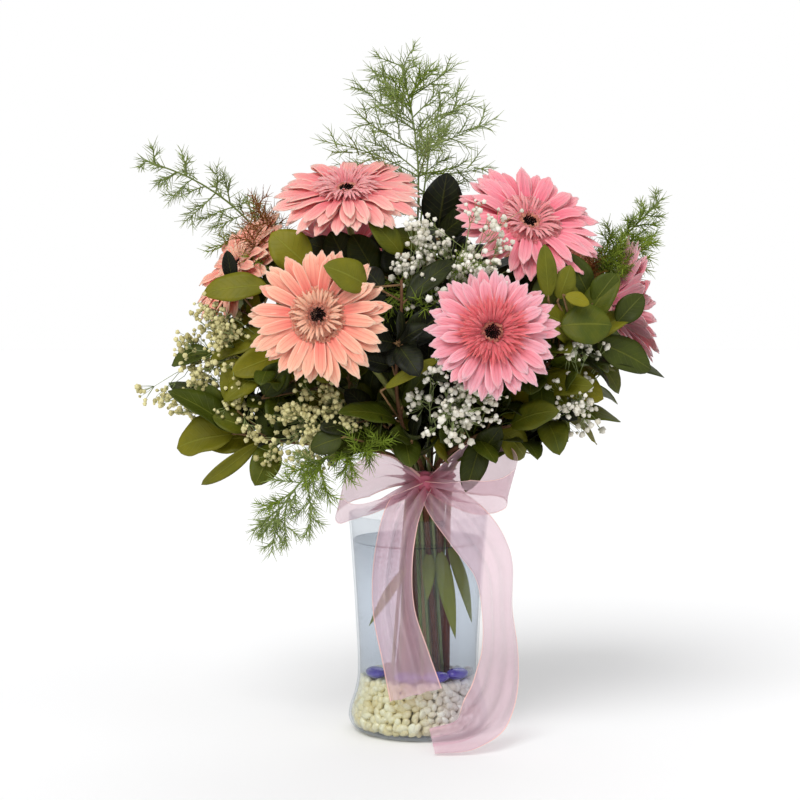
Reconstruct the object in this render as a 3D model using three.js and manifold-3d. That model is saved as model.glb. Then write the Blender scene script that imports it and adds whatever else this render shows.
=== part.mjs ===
// Gerberas in a glass vase, in millimetres, +Z up.
// A hand-tied bouquet of eight gerberas, leafy branches, asparagus fern and gypsophila stands in
// water in a flared glass vase. Cream pebbles with a few violet glass nuggets fill its foot, and an
// organza ribbon is tied in a bow round the stems just above the rim.
// The origin is the centre of the vase's flat underside, and -Y is the front.
import * as THREE from 'three';
import { mergeVertices } from 'three/addons/utils/BufferGeometryUtils.js';
import Module from 'manifold-3d';

const wasm = await Module();
wasm.setup();

// ---------------------------------------------------------------- driving dimensions

const GAP = 0.35; // between pieces that touch
const CLEAR = 0.5; // kept round whatever grows past its neighbours
const GOLDEN = Math.PI * (3 - Math.sqrt(5)); // turn from one shoot to the next
const UP = new THREE.Vector3(0, 0, 1);

// Each row is a height and the radius there.
const VASE_OUTSIDE = [[0, 40], [3, 46], [9, 49.5], [16, 49], [27, 45.5], [40, 43.2], [90, 45], [156, 49.5]];
const VASE_INSIDE = [[156, 46.8], [90, 42.4], [40, 40.6], [27, 42.9], [16, 46.2], [10, 45.5], [6, 39]];
const VASE_SIDES = 24;
const WATER_FLOOR = 42;
const WATER_LEVEL = 137;

const PEBBLE_BED_TOP = 41.4;
const PEBBLE_SIDES = 28; // every other one is a pebble
const PEBBLE_RELIEF = 3.6;
const PEBBLE_SLACK = 0.8; // how unevenly the pebbles stand out
const PEBBLE_WALL = [11, 17, 23, 29, 35]; // heights of the rows against the glass
const PEBBLE_TOP = [38.5, 29, 18, 7]; // radii of the rows on top
const NUGGET = [9, 6.2, 3.6]; // half lengths of a glass nugget, the first along the glass
const NUGGET_ANGLES = [205, 257, 291, 327];
const NUGGET_RADIUS = 32.8;
const NUGGET_HEIGHT = 43.4;

const TIE = new THREE.Vector3(8, -2, 180); // middle of the bundle where the ribbon holds it
const FOOT = new THREE.Vector3(0, 0, 42); // middle of the bundle on the pebbles
const TWIST = THREE.MathUtils.degToRad(50); // turn of the spiral bundle from the tie to its foot
const SPREAD = 1.45; // how much wider the bundle is at its foot
const LIFT = 10; // the stems part this far above the tie
// Rings of places at the tie, as distances from its middle.
const INNER = 5.3;
const MIDDLE = 10.5;
const OUTER = 15.5;

// Each kind of stem: its radius at its foot and at its end, its sides, and the straight runs of its bends.
const STALK = { radius: 2.3, end: 2.3, sides: 5, runs: 8 };
const WOOD = { radius: 2, end: 1.1, sides: 4, runs: 6 };
const RIB = { radius: 1.3, end: 0.8, sides: 4, runs: 7 };
const SPRIG = { radius: 1.2, end: 1.1, sides: 4, runs: 4 };

const CALYX_DEPTH = 7.5; // from a bloom's eye back to its calyx
const CALYX = [[0, 2.3], [3, 4], [8, 8.5], [11, 9.6]];
const DISC_SIDES = 14; // every other one is a floret's peak
const PETALS = 10; // in each of a bloom's two layers
const PETAL_WIDTH = 0.12; // half a petal's width, as a share of its bloom's size
const PETAL_ROOT = 8; // how far from the bloom's axis a petal is rooted, inside the disc
const PETAL = { shape: [[0.6, 1], [0.9, 0.7]], thick: 1.2, arch: 0.03, face: UP };
const PETAL_LAYERS = [{ depth: 3, length: 0.93 }, { depth: 5.6, length: 1 }];
const EYE = [[-2.6, 5], [-0.6, 5], [1, 3]];
const EYE_SIDES = 6;

const LEAF = { shape: [[0.12, 0.3], [0.45, 1], [0.8, 0.66]], thick: 1.3, arch: 0.07 };
const TWIG_RADIUS = 0.9;
const TWIG_LEAN = THREE.MathUtils.degToRad(58); // between a frond's stem and its twigs
const WHORL_SPACING = 11; // between a twig's whorls of three needles
const NEEDLE_ROOT = 2.4;
const NEEDLE_LENGTH = 13;
const NEEDLE_LEAN = THREE.MathUtils.degToRad(50);
const FORKS = 4; // of a spray, each with a floret at its end and two beside it
const FORK_RADIUS = 0.9;
const FORK_SIDES = 4;
const FLOWER_STALK = { radius: 0.5, length: 15, lean: THREE.MathUtils.degToRad(55), sides: 3 };
const FLORET_RADIUS = 3.1;

const RIBBON_THICK = 1.2;
const BAND = { inner: 18.4, outer: 19.6, height: 12, sides: 14 };
const KNOT = new THREE.Vector3(4, -27, 180);
const KNOT_SIZE = [9, 6.5, 8];
const LOOP = { puff: 13, forward: 27, droop: 14, lean: 0.6, width: 42, steps: 8 };

const BENDS = 26; // ways that a shoot is tried until it is clear of the other nodes
const BEND = THREE.MathUtils.degToRad(7); // how far the first of them turns it

const COLOURS = {
  glass: [0xdfe9ee, 0.05], water: [0xdce8f0, 0.05], pebble: [0xd9cda6, 0.7], violet: [0x4a38a0, 0.15],
  ribbon: [0xd9a9b8, 0.6], salmon: [0xf79a80, 0.6], pink: [0xf08090, 0.6], eye: [0x30100c, 0.8],
  stalk: [0x7f9a4a, 0.6], leaf: [0x4f6a1c, 0.5], fern: [0x5f8a3a, 0.6], gypsophila: [0xf0efd8, 0.8],
};

// A stem goes from its foot through its place at the tie, an angle on a ring, and along `way`.
// The bloom's middle is at `eye`, and it looks along `face`. Its petals are `size` long and rise
// towards the front by `rise` of that.
const GERBERAS = [
  { name: 'gerbera_1', place: [INNER, 214], way: [[-14, -12, 260], [-34, -10, 325]],
    eye: [-50, -25, 385], face: [-0.06, -0.5, 0.86], size: 54, rise: 0.02, ruff: 20, colour: 'pink' },
  { name: 'gerbera_2', place: [MIDDLE, 240], way: [[-14, -28, 236], [-44, -52, 276]],
    eye: [-67, -95, 299], face: [-0.1, -0.95, 0.22], size: 49, rise: 0.1, ruff: 20, colour: 'salmon' },
  { name: 'gerbera_3', place: [INNER, 334], way: [[30, -8, 255], [58, -8, 315]],
    eye: [76, -35, 362], face: [0.24, -0.72, 0.65], size: 54, rise: 0.1, ruff: 20, colour: 'pink' },
  { name: 'gerbera_4', place: [MIDDLE, 300], way: [[24, -28, 230], [40, -56, 266]],
    eye: [48, -100, 288], face: [0.05, -0.94, 0.28], size: 46, rise: 0.06, ruff: 27, colour: 'pink' },
  { name: 'gerbera_5', place: [MIDDLE, 180], way: [[-36, 0, 242], [-86, 6, 300]],
    eye: [-128, -2, 332], face: [-0.72, -0.4, 0.5], size: 48, rise: 0.12, ruff: 20, colour: 'salmon' },
  { name: 'gerbera_6', place: [MIDDLE, 0], way: [[48, 2, 236], [98, 2, 284]],
    eye: [138, 2, 303], face: [0.93, 0.1, 0.1], size: 46, rise: 0.6, ruff: 18, colour: 'pink' },
  { name: 'gerbera_7', place: [INNER, 34], way: [[36, 22, 250], [72, 44, 292]],
    eye: [104, 80, 320], face: [0.5, 0.75, 0.42], size: 50, rise: 0.12, ruff: 20, colour: 'salmon' },
  { name: 'gerbera_8', place: [INNER, 154], way: [[-12, 24, 260], [-36, 50, 306]],
    eye: [-58, 92, 334], face: [-0.3, 0.82, 0.48], size: 50, rise: 0.1, ruff: 20, colour: 'pink' },
];

// Each leaf grows `at` a share of its branch's length above the tie, to its tip, and shows its face.
const BRANCHES = [
  { name: 'leafy_left', place: [MIDDLE, 210], way: [[-30, -20, 226], [-82, -32, 262], [-112, -38, 300]],
    leaves: [
      { at: 0.98, tip: [-150, -46, 322], width: 24, face: [0.1, -0.6, 0.8] },
      { at: 0.97, tip: [-92, -44, 352], width: 26, face: [-0.1, -0.9, 0.3] },
      { at: 0.9, tip: [-146, -30, 268], width: 22, face: [-0.3, -0.8, 0.6] },
      { at: 0.8, tip: [-128, -52, 258], width: 20, face: [0.2, -0.9, 0.3] },
      { at: 0.74, tip: [-90, -66, 262], width: 24, face: [0.1, -0.9, 0.4] },
      { at: 0.64, tip: [-122, -14, 228], width: 24, face: [-0.3, -0.5, 0.8] },
      { at: 0.6, tip: [-76, -30, 296], width: 24, face: [0, -0.9, 0.4] },
      { at: 0.5, tip: [-74, -56, 236], width: 22, face: [0.1, -0.9, 0.3] },
    ] },
  { name: 'leafy_low_left', place: [OUTER, 202], way: [[-34, -22, 204], [-84, -36, 208], [-128, -34, 216]],
    leaves: [
      { at: 0.98, tip: [-172, -44, 246], width: 22, face: [0.3, -0.7, 0.6] },
      { at: 0.98, tip: [-170, -26, 206], width: 26, face: [0, -0.8, 0.6] },
      { at: 0.9, tip: [-176, -10, 252], width: 20, face: [0, -0.7, 0.7] },
      { at: 0.86, tip: [-152, -30, 178], width: 11, face: [0.4, -0.9, 0.2] },
      { at: 0.8, tip: [-112, -54, 182], width: 20, face: [0.2, -0.9, 0.4] },
      { at: 0.7, tip: [-96, -52, 238], width: 24, face: [0.1, -0.9, 0.4] },
    ] },
  { name: 'leafy_front_left', place: [OUTER, 255],
    way: [[-5, -35, 206], [-17, -56, 238], [-12, -72, 290], [-12, -84, 322]],
    leaves: [
      { at: 0.98, tip: [-50, -112, 326], width: 18, face: [0.1, -0.9, 0.4] },
      { at: 0.9, tip: [18, -80, 338], width: 18, face: [0, -0.8, 0.6] },
      { at: 0.72, tip: [22, -74, 304], width: 20, face: [0.1, -0.9, 0.3] },
      { at: 0.45, tip: [16, -76, 270], width: 14, face: [0, -0.8, 0.6] },
      { at: 0.4, tip: [-54, -86, 234], width: 19, face: [0.1, -0.8, 0.6] },
      { at: 0.36, tip: [-6, -72, 196], width: 18, face: [0.2, -0.95, 0.1] },
      { at: 0.3, tip: [-62, -70, 208], width: 20, face: [0.1, -0.8, 0.5] },
    ] },
  { name: 'leafy_front_right', place: [OUTER, 285], way: [[24, -32, 204], [46, -46, 218], [62, -54, 222]],
    leaves: [
      { at: 0.98, tip: [92, -76, 236], width: 20, face: [0.1, -0.8, 0.6] },
      { at: 0.9, tip: [74, -44, 200], width: 24, face: [0.1, -0.7, 0.6] },
      { at: 0.78, tip: [32, -58, 178], width: 18, face: [0, -0.97, 0.2] },
      { at: 0.7, tip: [52, -66, 198], width: 14, face: [0, -0.8, 0.6] },
    ] },
  { name: 'leafy_right', place: [MIDDLE, 330], way: [[44, -24, 224], [88, -38, 262], [112, -46, 288]],
    leaves: [
      { at: 0.96, tip: [84, -78, 300], width: 24, face: [0, -0.9, 0.35] },
      { at: 0.98, tip: [136, -50, 326], width: 20, face: [-0.3, -0.9, 0.2] },
      { at: 0.98, tip: [96, -56, 330], width: 16, face: [0.2, -0.95, 0.2] },
      { at: 0.9, tip: [150, -44, 300], width: 18, face: [-0.2, -0.9, 0.3] },
      { at: 0.84, tip: [172, -30, 258], width: 26, face: [0.1, -0.6, 0.8] },
      { at: 0.74, tip: [128, -38, 240], width: 24, face: [0.1, -0.8, 0.5] },
      { at: 0.66, tip: [118, -64, 250], width: 18, face: [0.1, -0.9, 0.3] },
      { at: 0.6, tip: [84, -30, 292], width: 24, face: [0, -0.9, 0.4] },
      { at: 0.5, tip: [80, -52, 238], width: 22, face: [0, -0.9, 0.3] },
    ] },
  { name: 'leafy_low_right', place: [OUTER, 330], way: [[46, -26, 206], [84, -32, 224], [104, -32, 232]],
    leaves: [
      { at: 0.98, tip: [142, -24, 224], width: 18, face: [0, -0.7, 0.7] },
      { at: 0.95, tip: [126, -10, 206], width: 22, face: [0.2, -0.5, 0.8] },
      { at: 0.85, tip: [96, -58, 204], width: 20, face: [0.1, -0.9, 0.4] },
    ] },
  { name: 'leafy_crown', place: [0, 0], way: [[8, -4, 260], [10, 0, 330], [14, 2, 356]],
    leaves: [
      { at: 0.98, tip: [20, -8, 396], width: 28, face: [0, -0.98, 0.2] },
      { at: 0.96, tip: [44, -22, 372], width: 18, face: [-0.3, -0.9, 0.3] },
      { at: 0.93, tip: [-22, -42, 352], width: 17, face: [0.2, -0.9, 0.4] },
      { at: 0.9, tip: [4, 44, 376], width: 26, face: [0, 0.7, 0.7] },
      { at: 0.8, tip: [14, -46, 322], width: 20, face: [0, -0.7, 0.7] },
      { at: 0.74, tip: [44, 4, 340], width: 22, face: [0.3, -0.8, 0.5] },
      { at: 0.68, tip: [-32, -6, 342], width: 24, face: [-0.3, -0.8, 0.5] },
      { at: 0.58, tip: [-16, -50, 288], width: 22, face: [0, -0.8, 0.6] },
      { at: 0.52, tip: [50, -4, 300], width: 26, face: [0.2, -0.9, 0.4] },
      { at: 0.46, tip: [-44, -8, 298], width: 26, face: [-0.2, -0.9, 0.4] },
      { at: 0.34, tip: [46, -20, 258], width: 24, face: [0.2, -0.8, 0.5] },
      { at: 0.36, tip: [-40, 2, 258], width: 20, face: [-0.2, -0.8, 0.5] },
    ] },
  { name: 'leafy_back', place: [MIDDLE, 90], way: [[10, 34, 236], [14, 68, 276], [12, 88, 300]],
    leaves: [
      { at: 0.98, tip: [24, 116, 336], width: 26, face: [0, 0.9, 0.4] },
      { at: 0.96, tip: [-12, 126, 286], width: 26, face: [-0.1, 0.8, 0.6] },
      { at: 0.9, tip: [50, 118, 276], width: 26, face: [0.1, 0.8, 0.6] },
      { at: 0.8, tip: [-26, 104, 250], width: 26, face: [0, 0.8, 0.6] },
      { at: 0.72, tip: [34, 100, 232], width: 26, face: [0, 0.8, 0.6] },
    ] },
  { name: 'leafy_back_left', place: [MIDDLE, 150], way: [[-34, 26, 226], [-78, 52, 258], [-104, 62, 284]],
    leaves: [
      { at: 0.98, tip: [-140, 70, 306], width: 24, face: [-0.5, 0.6, 0.6] },
      { at: 0.95, tip: [-136, 92, 270], width: 24, face: [-0.4, 0.7, 0.5] },
      { at: 0.9, tip: [-148, 40, 262], width: 24, face: [-0.6, 0.3, 0.6] },
      { at: 0.8, tip: [-104, 94, 236], width: 26, face: [-0.3, 0.8, 0.5] },
      { at: 0.7, tip: [-118, 36, 214], width: 24, face: [-0.6, 0.4, 0.7] },
    ] },
  { name: 'leafy_back_right', place: [MIDDLE, 30], way: [[50, 26, 222], [88, 48, 244], [112, 56, 262]],
    leaves: [
      { at: 0.98, tip: [156, 60, 284], width: 24, face: [0.4, 0.5, 0.7] },
      { at: 0.96, tip: [144, 84, 250], width: 24, face: [0.4, 0.7, 0.5] },
      { at: 0.88, tip: [146, 34, 232], width: 24, face: [0.6, 0.2, 0.7] },
      { at: 0.78, tip: [88, 96, 226], width: 26, face: [0.2, 0.9, 0.4] },
      { at: 0.7, tip: [112, 50, 204], width: 22, face: [0.5, 0.4, 0.8] },
    ] },
];

// Lance leaves in the water grow from the straight part of a branch at a height.
const LANCE_LEAVES = [
  { name: 'leafy_front_right', height: 132, tip: [26, -28, 70], width: 11, face: [0, -1, 0.1] },
  { name: 'leafy_front_left', height: 130, tip: [6, -34, 98], width: 9, face: [0.1, -1, 0] },
  { name: 'leafy_low_right', height: 134, tip: [38, -8, 78], width: 9, face: [0.4, -0.9, 0] },
  { name: 'leafy_low_left', height: 120, tip: [-35, -12, 76], width: 7, face: [-0.4, -0.9, 0] },
];

// Twigs stand round a frond from a `bare` share of its length on, and the first is `reach` long.
const FRONDS = [
  { name: 'fern_top', place: [INNER, 274],
    way: [[2, -12, 260], [-3, 12, 340], [2, 16, 400], [-12, 14, 474]], bare: 0.72, reach: 66, twigs: 9 },
  { name: 'fern_left', place: [OUTER, 165],
    way: [[-40, 12, 236], [-100, 42, 338], [-146, 36, 386], [-194, 12, 406]],
    bare: 0.64, reach: 36, twigs: 7 },
  { name: 'fern_right', place: [OUTER, 12],
    way: [[54, 8, 230], [104, 32, 300], [140, 22, 344], [170, 2, 376]], bare: 0.7, reach: 30, twigs: 6 },
  { name: 'fern_low_left', place: [OUTER, 228],
    way: [[-20, -35, 206], [-54, -66, 210], [-82, -74, 184], [-104, -72, 152]],
    bare: 0.6, reach: 26, twigs: 6 },
  { name: 'fern_back', place: [INNER, 94],
    way: [[6, 24, 260], [0, 52, 330], [4, 66, 380], [10, 76, 424]], bare: 0.7, reach: 40, twigs: 5 },
];

// The forks of a spray reach into an egg-shaped crown of flowers.
const SPRAYS = [
  { name: 'gypsophila_crown', place: [MIDDLE, 270], way: [[8, -29, 250], [13, -42, 290]],
    crown: [14, -58, 322], radii: [38, 22, 34] },
  { name: 'gypsophila_left', place: [OUTER, 184], way: [[-44, -6, 222], [-100, -12, 252]],
    crown: [-142, -26, 270], radii: [30, 24, 44] },
  { name: 'gypsophila_low', place: [OUTER, 270], way: [[6, -38, 210], [10, -56, 228]],
    crown: [22, -76, 238], radii: [34, 16, 20] },
  { name: 'gypsophila_low_left', place: [OUTER, 242], way: [[-13, -35, 205], [-38, -48, 222]],
    crown: [-76, -54, 222], radii: [26, 18, 28] },
  { name: 'gypsophila_right', place: [OUTER, 350], way: [[48, -10, 212], [88, -16, 232]],
    crown: [122, -30, 240], radii: [22, 22, 38] },
  { name: 'gypsophila_back', place: [MIDDLE, 60], way: [[20, 36, 232], [34, 74, 270]],
    crown: [34, 104, 296], radii: [46, 22, 36] },
];

// Each row of a tail is a point on the ribbon's middle, the direction of its width and its width.
const FRONT_TAIL = [
  [[3, -29, 178], [1, 0, 0], 14],
  [[-4, -44, 170], [1, 0.1, 0], 24],
  [[-11, -53.5, 158], [1, 0.1, 0], 28],
  [[-15, -56, 130], [1, 0.1, 0], 32],
  [[-11, -55, 90], [1, 0, 0], 36],
  [[-3, -54, 52], [1, 0, 0], 40],
  [[2, -54, 30], [1, 0, 0], 42],
];
const SIDE_TAIL = [
  [[5, -29, 178], [1, 0, -1], 14],
  [[22, -42, 168], [1, 0, 0.6], 22],
  [[44, -47, 150], [0.8, 0.6, 1], 28],
  [[62, -40, 122], [0.3, 1, 0.4], 32],
  [[69, -36, 84], [0.2, 1, 0.1], 34],
  [[67, -40, 48], [-0.3, 1, 0], 34],
  [[55, -56, 24], [-0.4, 0.5, 0.6], 32],
  [[36, -68, 10], [-0.2, 0.7, 0.3], 30],
  [[8, -70, 2.5], [0, 1, 0.05], 30],
];

// ---------------------------------------------------------------- solids

const vector = (point) => new THREE.Vector3(...point);
const boxOf = (shape) => {
  const { min, max } = shape.boundingBox();
  return new THREE.Box3(vector(min), vector(max));
};

// The same draws from 0 to 1 every time.
function draws(seed) {
  let state = seed;
  return () => {
    state = (Math.imul(state, 1664525) + 1013904223) >>> 0;
    return state / 2 ** 32;
  };
}

function solid(positions, triangles) {
  return new wasm.Manifold(new wasm.Mesh({
    numProp: 3, vertProperties: new Float32Array(positions), triVerts: new Uint32Array(triangles),
  }));
}

// A solid through rings of points, each counter-clockwise seen from the last. A single point is a tip.
// The split of its quads alternates, so that both faces of a thin ribbon are split alike. `raised`
// may give a point that half of a quad rises to.
function loft(rings, raised = () => null) {
  const triangles = [];
  const points = rings.flat();
  let start = 0;
  for (let i = 0; i + 1 < rings.length; i += 1) {
    const [low, high] = [rings[i].length, rings[i + 1].length];
    const sides = Math.max(low, high);
    const next = start + low;
    for (let j = 0; j < sides; j += 1) {
      const k = (j + 1) % sides;
      if (low === 1) triangles.push(start, next + k, next + j);
      else if (high === 1) triangles.push(start + j, start + k, next);
      else {
        const half = [start + j, start + k, j % 2 ? next + j : next + k];
        const peak = raised(i, half.map((corner) => points[corner]));
        if (peak) half.forEach((corner, side) => triangles.push(corner, half[(side + 1) % 3], points.length));
        else triangles.push(...half);
        if (peak) points.push(peak);
        triangles.push(...(j % 2 ? [start + k, next + k, next + j] : [start + j, next + k, next + j]));
      }
    }
    start = next;
  }
  for (let j = 2; j < rings[0].length; j += 1) triangles.push(0, j, j - 1);
  for (let j = 2; j < rings.at(-1).length; j += 1) triangles.push(start, start + j - 1, start + j);
  return solid(points.flatMap((point) => point.toArray()), triangles);
}

// A regular ring of points round a middle, across a direction.
function ring(middle, direction, radius, sides, towards = new THREE.Vector3(1, 0.2, 0)) {
  const side = towards.clone().addScaledVector(direction, -towards.dot(direction)).normalize();
  const other = direction.clone().cross(side);
  return Array.from({ length: sides }, (_, i) => {
    const turn = (2 * Math.PI * i) / sides;
    return middle.clone().addScaledVector(side, radius * Math.cos(turn))
      .addScaledVector(other, radius * Math.sin(turn));
  });
}

// A solid of revolution about Z through rows of height and radius.
function turned(rows, sides, axis = new THREE.Vector3()) {
  return loft(rows.map(([height, radius]) => ring(axis.clone().setZ(height), UP, radius, sides)));
}

// Rings of a round stem through points, with a radius at each.
function stemRings(points, radii, sides) {
  let side = new THREE.Vector3(1, 0.2, 0.1);
  return points.map((point, i) => {
    const direction = (points[i + 1] ?? point).clone().sub(points[i - 1] ?? point).normalize();
    side = side.clone().addScaledVector(direction, -side.dot(direction)).normalize();
    return ring(point, direction, radii[i], sides, side);
  });
}

const stem = (points, radii, sides) => loft(stemRings(points, radii, sides));

// A thin arched blade from root to tip, ridged along its face. Rows of `shape` give its width at
// shares of its length. With something extra, it is the room that the blade needs round it.
function blade({ root, tip, face, half, shape, thick, arch }, extra = 0) {
  const along = tip.clone().sub(root);
  const side = along.clone().cross(face).normalize();
  const up = side.clone().cross(along).normalize();
  const rings = [...shape, ...(extra ? [[1, 0]] : [])].map(([share, width]) => {
    const rise = 4 * arch * along.length() * share * (1 - share);
    const middle = root.clone().addScaledVector(along, share).addScaledVector(up, rise);
    const corner = (reach, height) => middle.clone().addScaledVector(side, reach).addScaledVector(up, height);
    const reach = half * width + extra;
    if (!extra) return [corner(0, thick), corner(reach, 0), corner(-reach, 0)];
    return [[-1, 1], [1, 1], [1, 0], [-1, 0]].map(([edge, over]) => (
      corner(edge * reach, over ? thick + extra : -extra)));
  });
  const end = tip.clone().addScaledVector(along.clone().normalize(), extra);
  return loft([[root], ...rings, [end]]);
}

// A solid from a closed three.js geometry.
function solidOf(geometry, matrix) {
  const bare = geometry.clone().applyMatrix4(matrix);
  bare.deleteAttribute('normal');
  bare.deleteAttribute('uv');
  const merged = mergeVertices(bare, 1e-4);
  return solid(merged.attributes.position.array, merged.index.array);
}

// A flat-sided egg about its middle, stretched along its own axes and turned by three angles.
function egg(middle, radii, angles) {
  const turn = new THREE.Quaternion().setFromEuler(new THREE.Euler(...angles));
  const matrix = new THREE.Matrix4().compose(middle, turn, vector(radii));
  return solidOf(new THREE.IcosahedronGeometry(1), matrix);
}

// ---------------------------------------------------------------- what has grown so far

const nodes = new Map(); // each node's colour, and its solids with the box round each

function grow(name, shape, colour) {
  if (!nodes.has(name)) nodes.set(name, { colour, grown: [] });
  nodes.get(name).grown.push({ shape, box: boxOf(shape) });
}

// Whether a shape meets nothing of the other nodes.
function isClear(name, shape) {
  const box = boxOf(shape);
  const meets = (piece) => piece.box.intersectsBox(box) && !piece.shape.intersect(shape).isEmpty();
  return [...nodes].every(([other, { grown }]) => other === name || !grown.some(meets));
}

// A direction leaned away from an axis, to the side that a turn gives.
function leaned(axis, lean, turn) {
  const [out] = ring(new THREE.Vector3(), axis, 1, 3);
  return axis.clone().applyAxisAngle(out.applyAxisAngle(axis, turn), lean);
}

// The tip of a shoot bent aside, further each time and to a new side.
function bentTip(root, tip, bend) {
  const reach = tip.clone().sub(root);
  const axis = reach.clone().cross(Math.abs(reach.z) < 0.8 * reach.length() ? UP : vector([1, 0, 0]));
  axis.normalize().applyAxisAngle(reach.clone().normalize(), bend * GOLDEN);
  return reach.applyAxisAngle(axis, BEND * Math.sqrt(bend)).add(root);
}

// Grows a shoot to the first bent tip at which it is clear of the other nodes, and gives that tip.
function growClear(name, root, tip, make) {
  for (let bend = 0; bend < BENDS; bend += 1) {
    const end = bentTip(root, tip, bend);
    if (isClear(name, make(end, CLEAR))) {
      grow(name, make(end, 0));
      return end;
    }
  }
  return null;
}

// ---------------------------------------------------------------- vase and ribbon

grow('vase', turned([...VASE_OUTSIDE, ...VASE_INSIDE], VASE_SIDES), 'glass');

function ribbon(rows) {
  return loft(rows.map(([point, across, width], i) => {
    const before = vector((rows[i - 1] ?? rows[i])[0]);
    const run = vector((rows[i + 1] ?? rows[i])[0]).sub(before).normalize();
    const side = vector(across).addScaledVector(run, -vector(across).dot(run)).normalize();
    const up = side.clone().cross(run);
    const corner = (along, above) => vector(point).addScaledVector(side, along).addScaledVector(up, above);
    const half = RIBBON_THICK / 2;
    return [corner(0, half), corner(width / 2, 0), corner(0, -half), corner(-width / 2, 0)];
  }));
}

// A loop of the bow, out from the knot and back to it in front of the rim.
function ribbonLoop(reach) {
  return ribbon(Array.from({ length: LOOP.steps + 1 }, (_, i) => {
    const turn = 2 * Math.PI * (0.04 + (0.92 * i) / LOOP.steps);
    const out = (1 - Math.cos(turn)) / 2;
    const depth = KNOT.y - LOOP.forward * out - LOOP.puff * Math.sin(turn);
    const point = [KNOT.x + reach * out, depth, KNOT.z - LOOP.droop * out ** 3];
    return [point, [0, LOOP.lean * out, 1], LOOP.width * Math.min(1, 0.25 + 1.5 * out)];
  }));
}

const bandFloor = TIE.z - BAND.height / 2;
const bandTop = TIE.z + BAND.height / 2;
const band = turned([[bandFloor, BAND.outer], [bandTop, BAND.outer]], BAND.sides, TIE)
  .subtract(turned([[bandFloor - 1, BAND.inner], [bandTop + 1, BAND.inner]], BAND.sides, TIE));
grow('ribbon_bow', band, 'ribbon');
grow('ribbon_bow', egg(KNOT, KNOT_SIZE, [0, 0, 0.3]));
grow('ribbon_bow', ribbonLoop(-64));
grow('ribbon_bow', ribbonLoop(68));
grow('ribbon_bow', ribbon(FRONT_TAIL));
grow('ribbon_bow', ribbon(SIDE_TAIL));

// ---------------------------------------------------------------- stems

// A point of a stem's straight lower part, by its place at the tie and its height.
function inBundle([radius, angle], height) {
  const place = vector([radius, 0, 0]).applyAxisAngle(UP, THREE.MathUtils.degToRad(angle));
  const foot = place.clone().applyAxisAngle(UP, TWIST).multiplyScalar(SPREAD).add(FOOT);
  return place.add(TIE).lerp(foot, (TIE.z - height) / (TIE.z - FOOT.z));
}

// The straight runs that a stem follows from just below the tie.
function stemRuns({ place, way }, steps, ending = []) {
  const start = [inBundle(place, TIE.z - LIFT), inBundle(place, TIE.z + LIFT)];
  const curve = new THREE.CatmullRomCurve3([...start, ...way.map(vector), ...ending], false, 'centripetal');
  const points = curve.getPoints(steps);
  const runs = new THREE.CurvePath();
  points.slice(1).forEach((point, i) => runs.add(new THREE.LineCurve3(points[i], point)));
  return runs;
}

const rooms = []; // what the water leaves free

// Grows a stem from its foot on the pebbles along its runs, thinning from one radius to another.
function growStem(name, colour, { place }, runs, { radius, end, sides }, ending = []) {
  const points = [inBundle(place, FOOT.z + GAP), runs.curves[0].v1, ...runs.curves.map(({ v2 }) => v2)];
  const radii = points.map((_, i) => radius + ((end - radius) * i) / (points.length - 1));
  const path = [...points, ...ending.map(([point]) => point)];
  grow(name, stem(path, [...radii, ...ending.map(([, wide]) => wide)], sides), colour);
  const room = [inBundle(place, FOOT.z - 9), inBundle(place, WATER_LEVEL + 9)];
  rooms.push(stem(room, [radius + GAP, radius + GAP], sides));
}

// A bloom's neck ends in its calyx, just behind the disc.
const gerberas = GERBERAS.map((gerbera) => {
  const eye = vector(gerbera.eye);
  const face = vector(gerbera.face).normalize();
  const behind = (depth) => eye.clone().addScaledVector(face, -depth);
  const neck = CALYX_DEPTH + CALYX.at(-1)[0];
  const calyx = CALYX.slice(1).map(([height, radius]) => [behind(neck - height), radius]);
  const runs = stemRuns(gerbera, STALK.runs, [behind(neck + 14), behind(neck)]);
  growStem(`${gerbera.name}_stalk`, 'stalk', gerbera, runs, STALK, calyx);
  return { ...gerbera, eye, face };
});
const branches = BRANCHES.map((branch) => {
  const runs = stemRuns(branch, WOOD.runs);
  growStem(branch.name, 'leaf', branch, runs, WOOD);
  return { ...branch, runs };
});
const fronds = FRONDS.map((frond) => {
  const runs = stemRuns(frond, RIB.runs);
  growStem(frond.name, 'fern', frond, runs, RIB);
  return { ...frond, runs };
});
const sprays = SPRAYS.map((spray) => {
  const runs = stemRuns(spray, SPRIG.runs);
  growStem(spray.name, 'gypsophila', spray, runs, SPRIG);
  return { ...spray, runs };
});

// ---------------------------------------------------------------- blooms

// The disc of a bloom about its own axis, with a ruff of short petals raised over the long ones.
function disc({ ruff, rise }) {
  const row = (height, radius, dip = radius, lift = 0) => Array.from({ length: DISC_SIDES }, (_, i) => {
    const peak = i % 2 === 0;
    const point = vector([peak ? radius : dip, 0, peak ? height + lift : height]);
    return point.applyAxisAngle(UP, (2 * Math.PI * i) / DISC_SIDES);
  });
  const over = ruff * rise + 2.4;
  return loft([
    row(GAP - CALYX_DEPTH, 10), row(-0.6, 12.5), row(over - 1.4, ruff, 0.68 * ruff, 1.4),
    row(over, 12, 10.5, 0.8), row(0, 6), row(-3.2, 5.4),
  ]);
}

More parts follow.
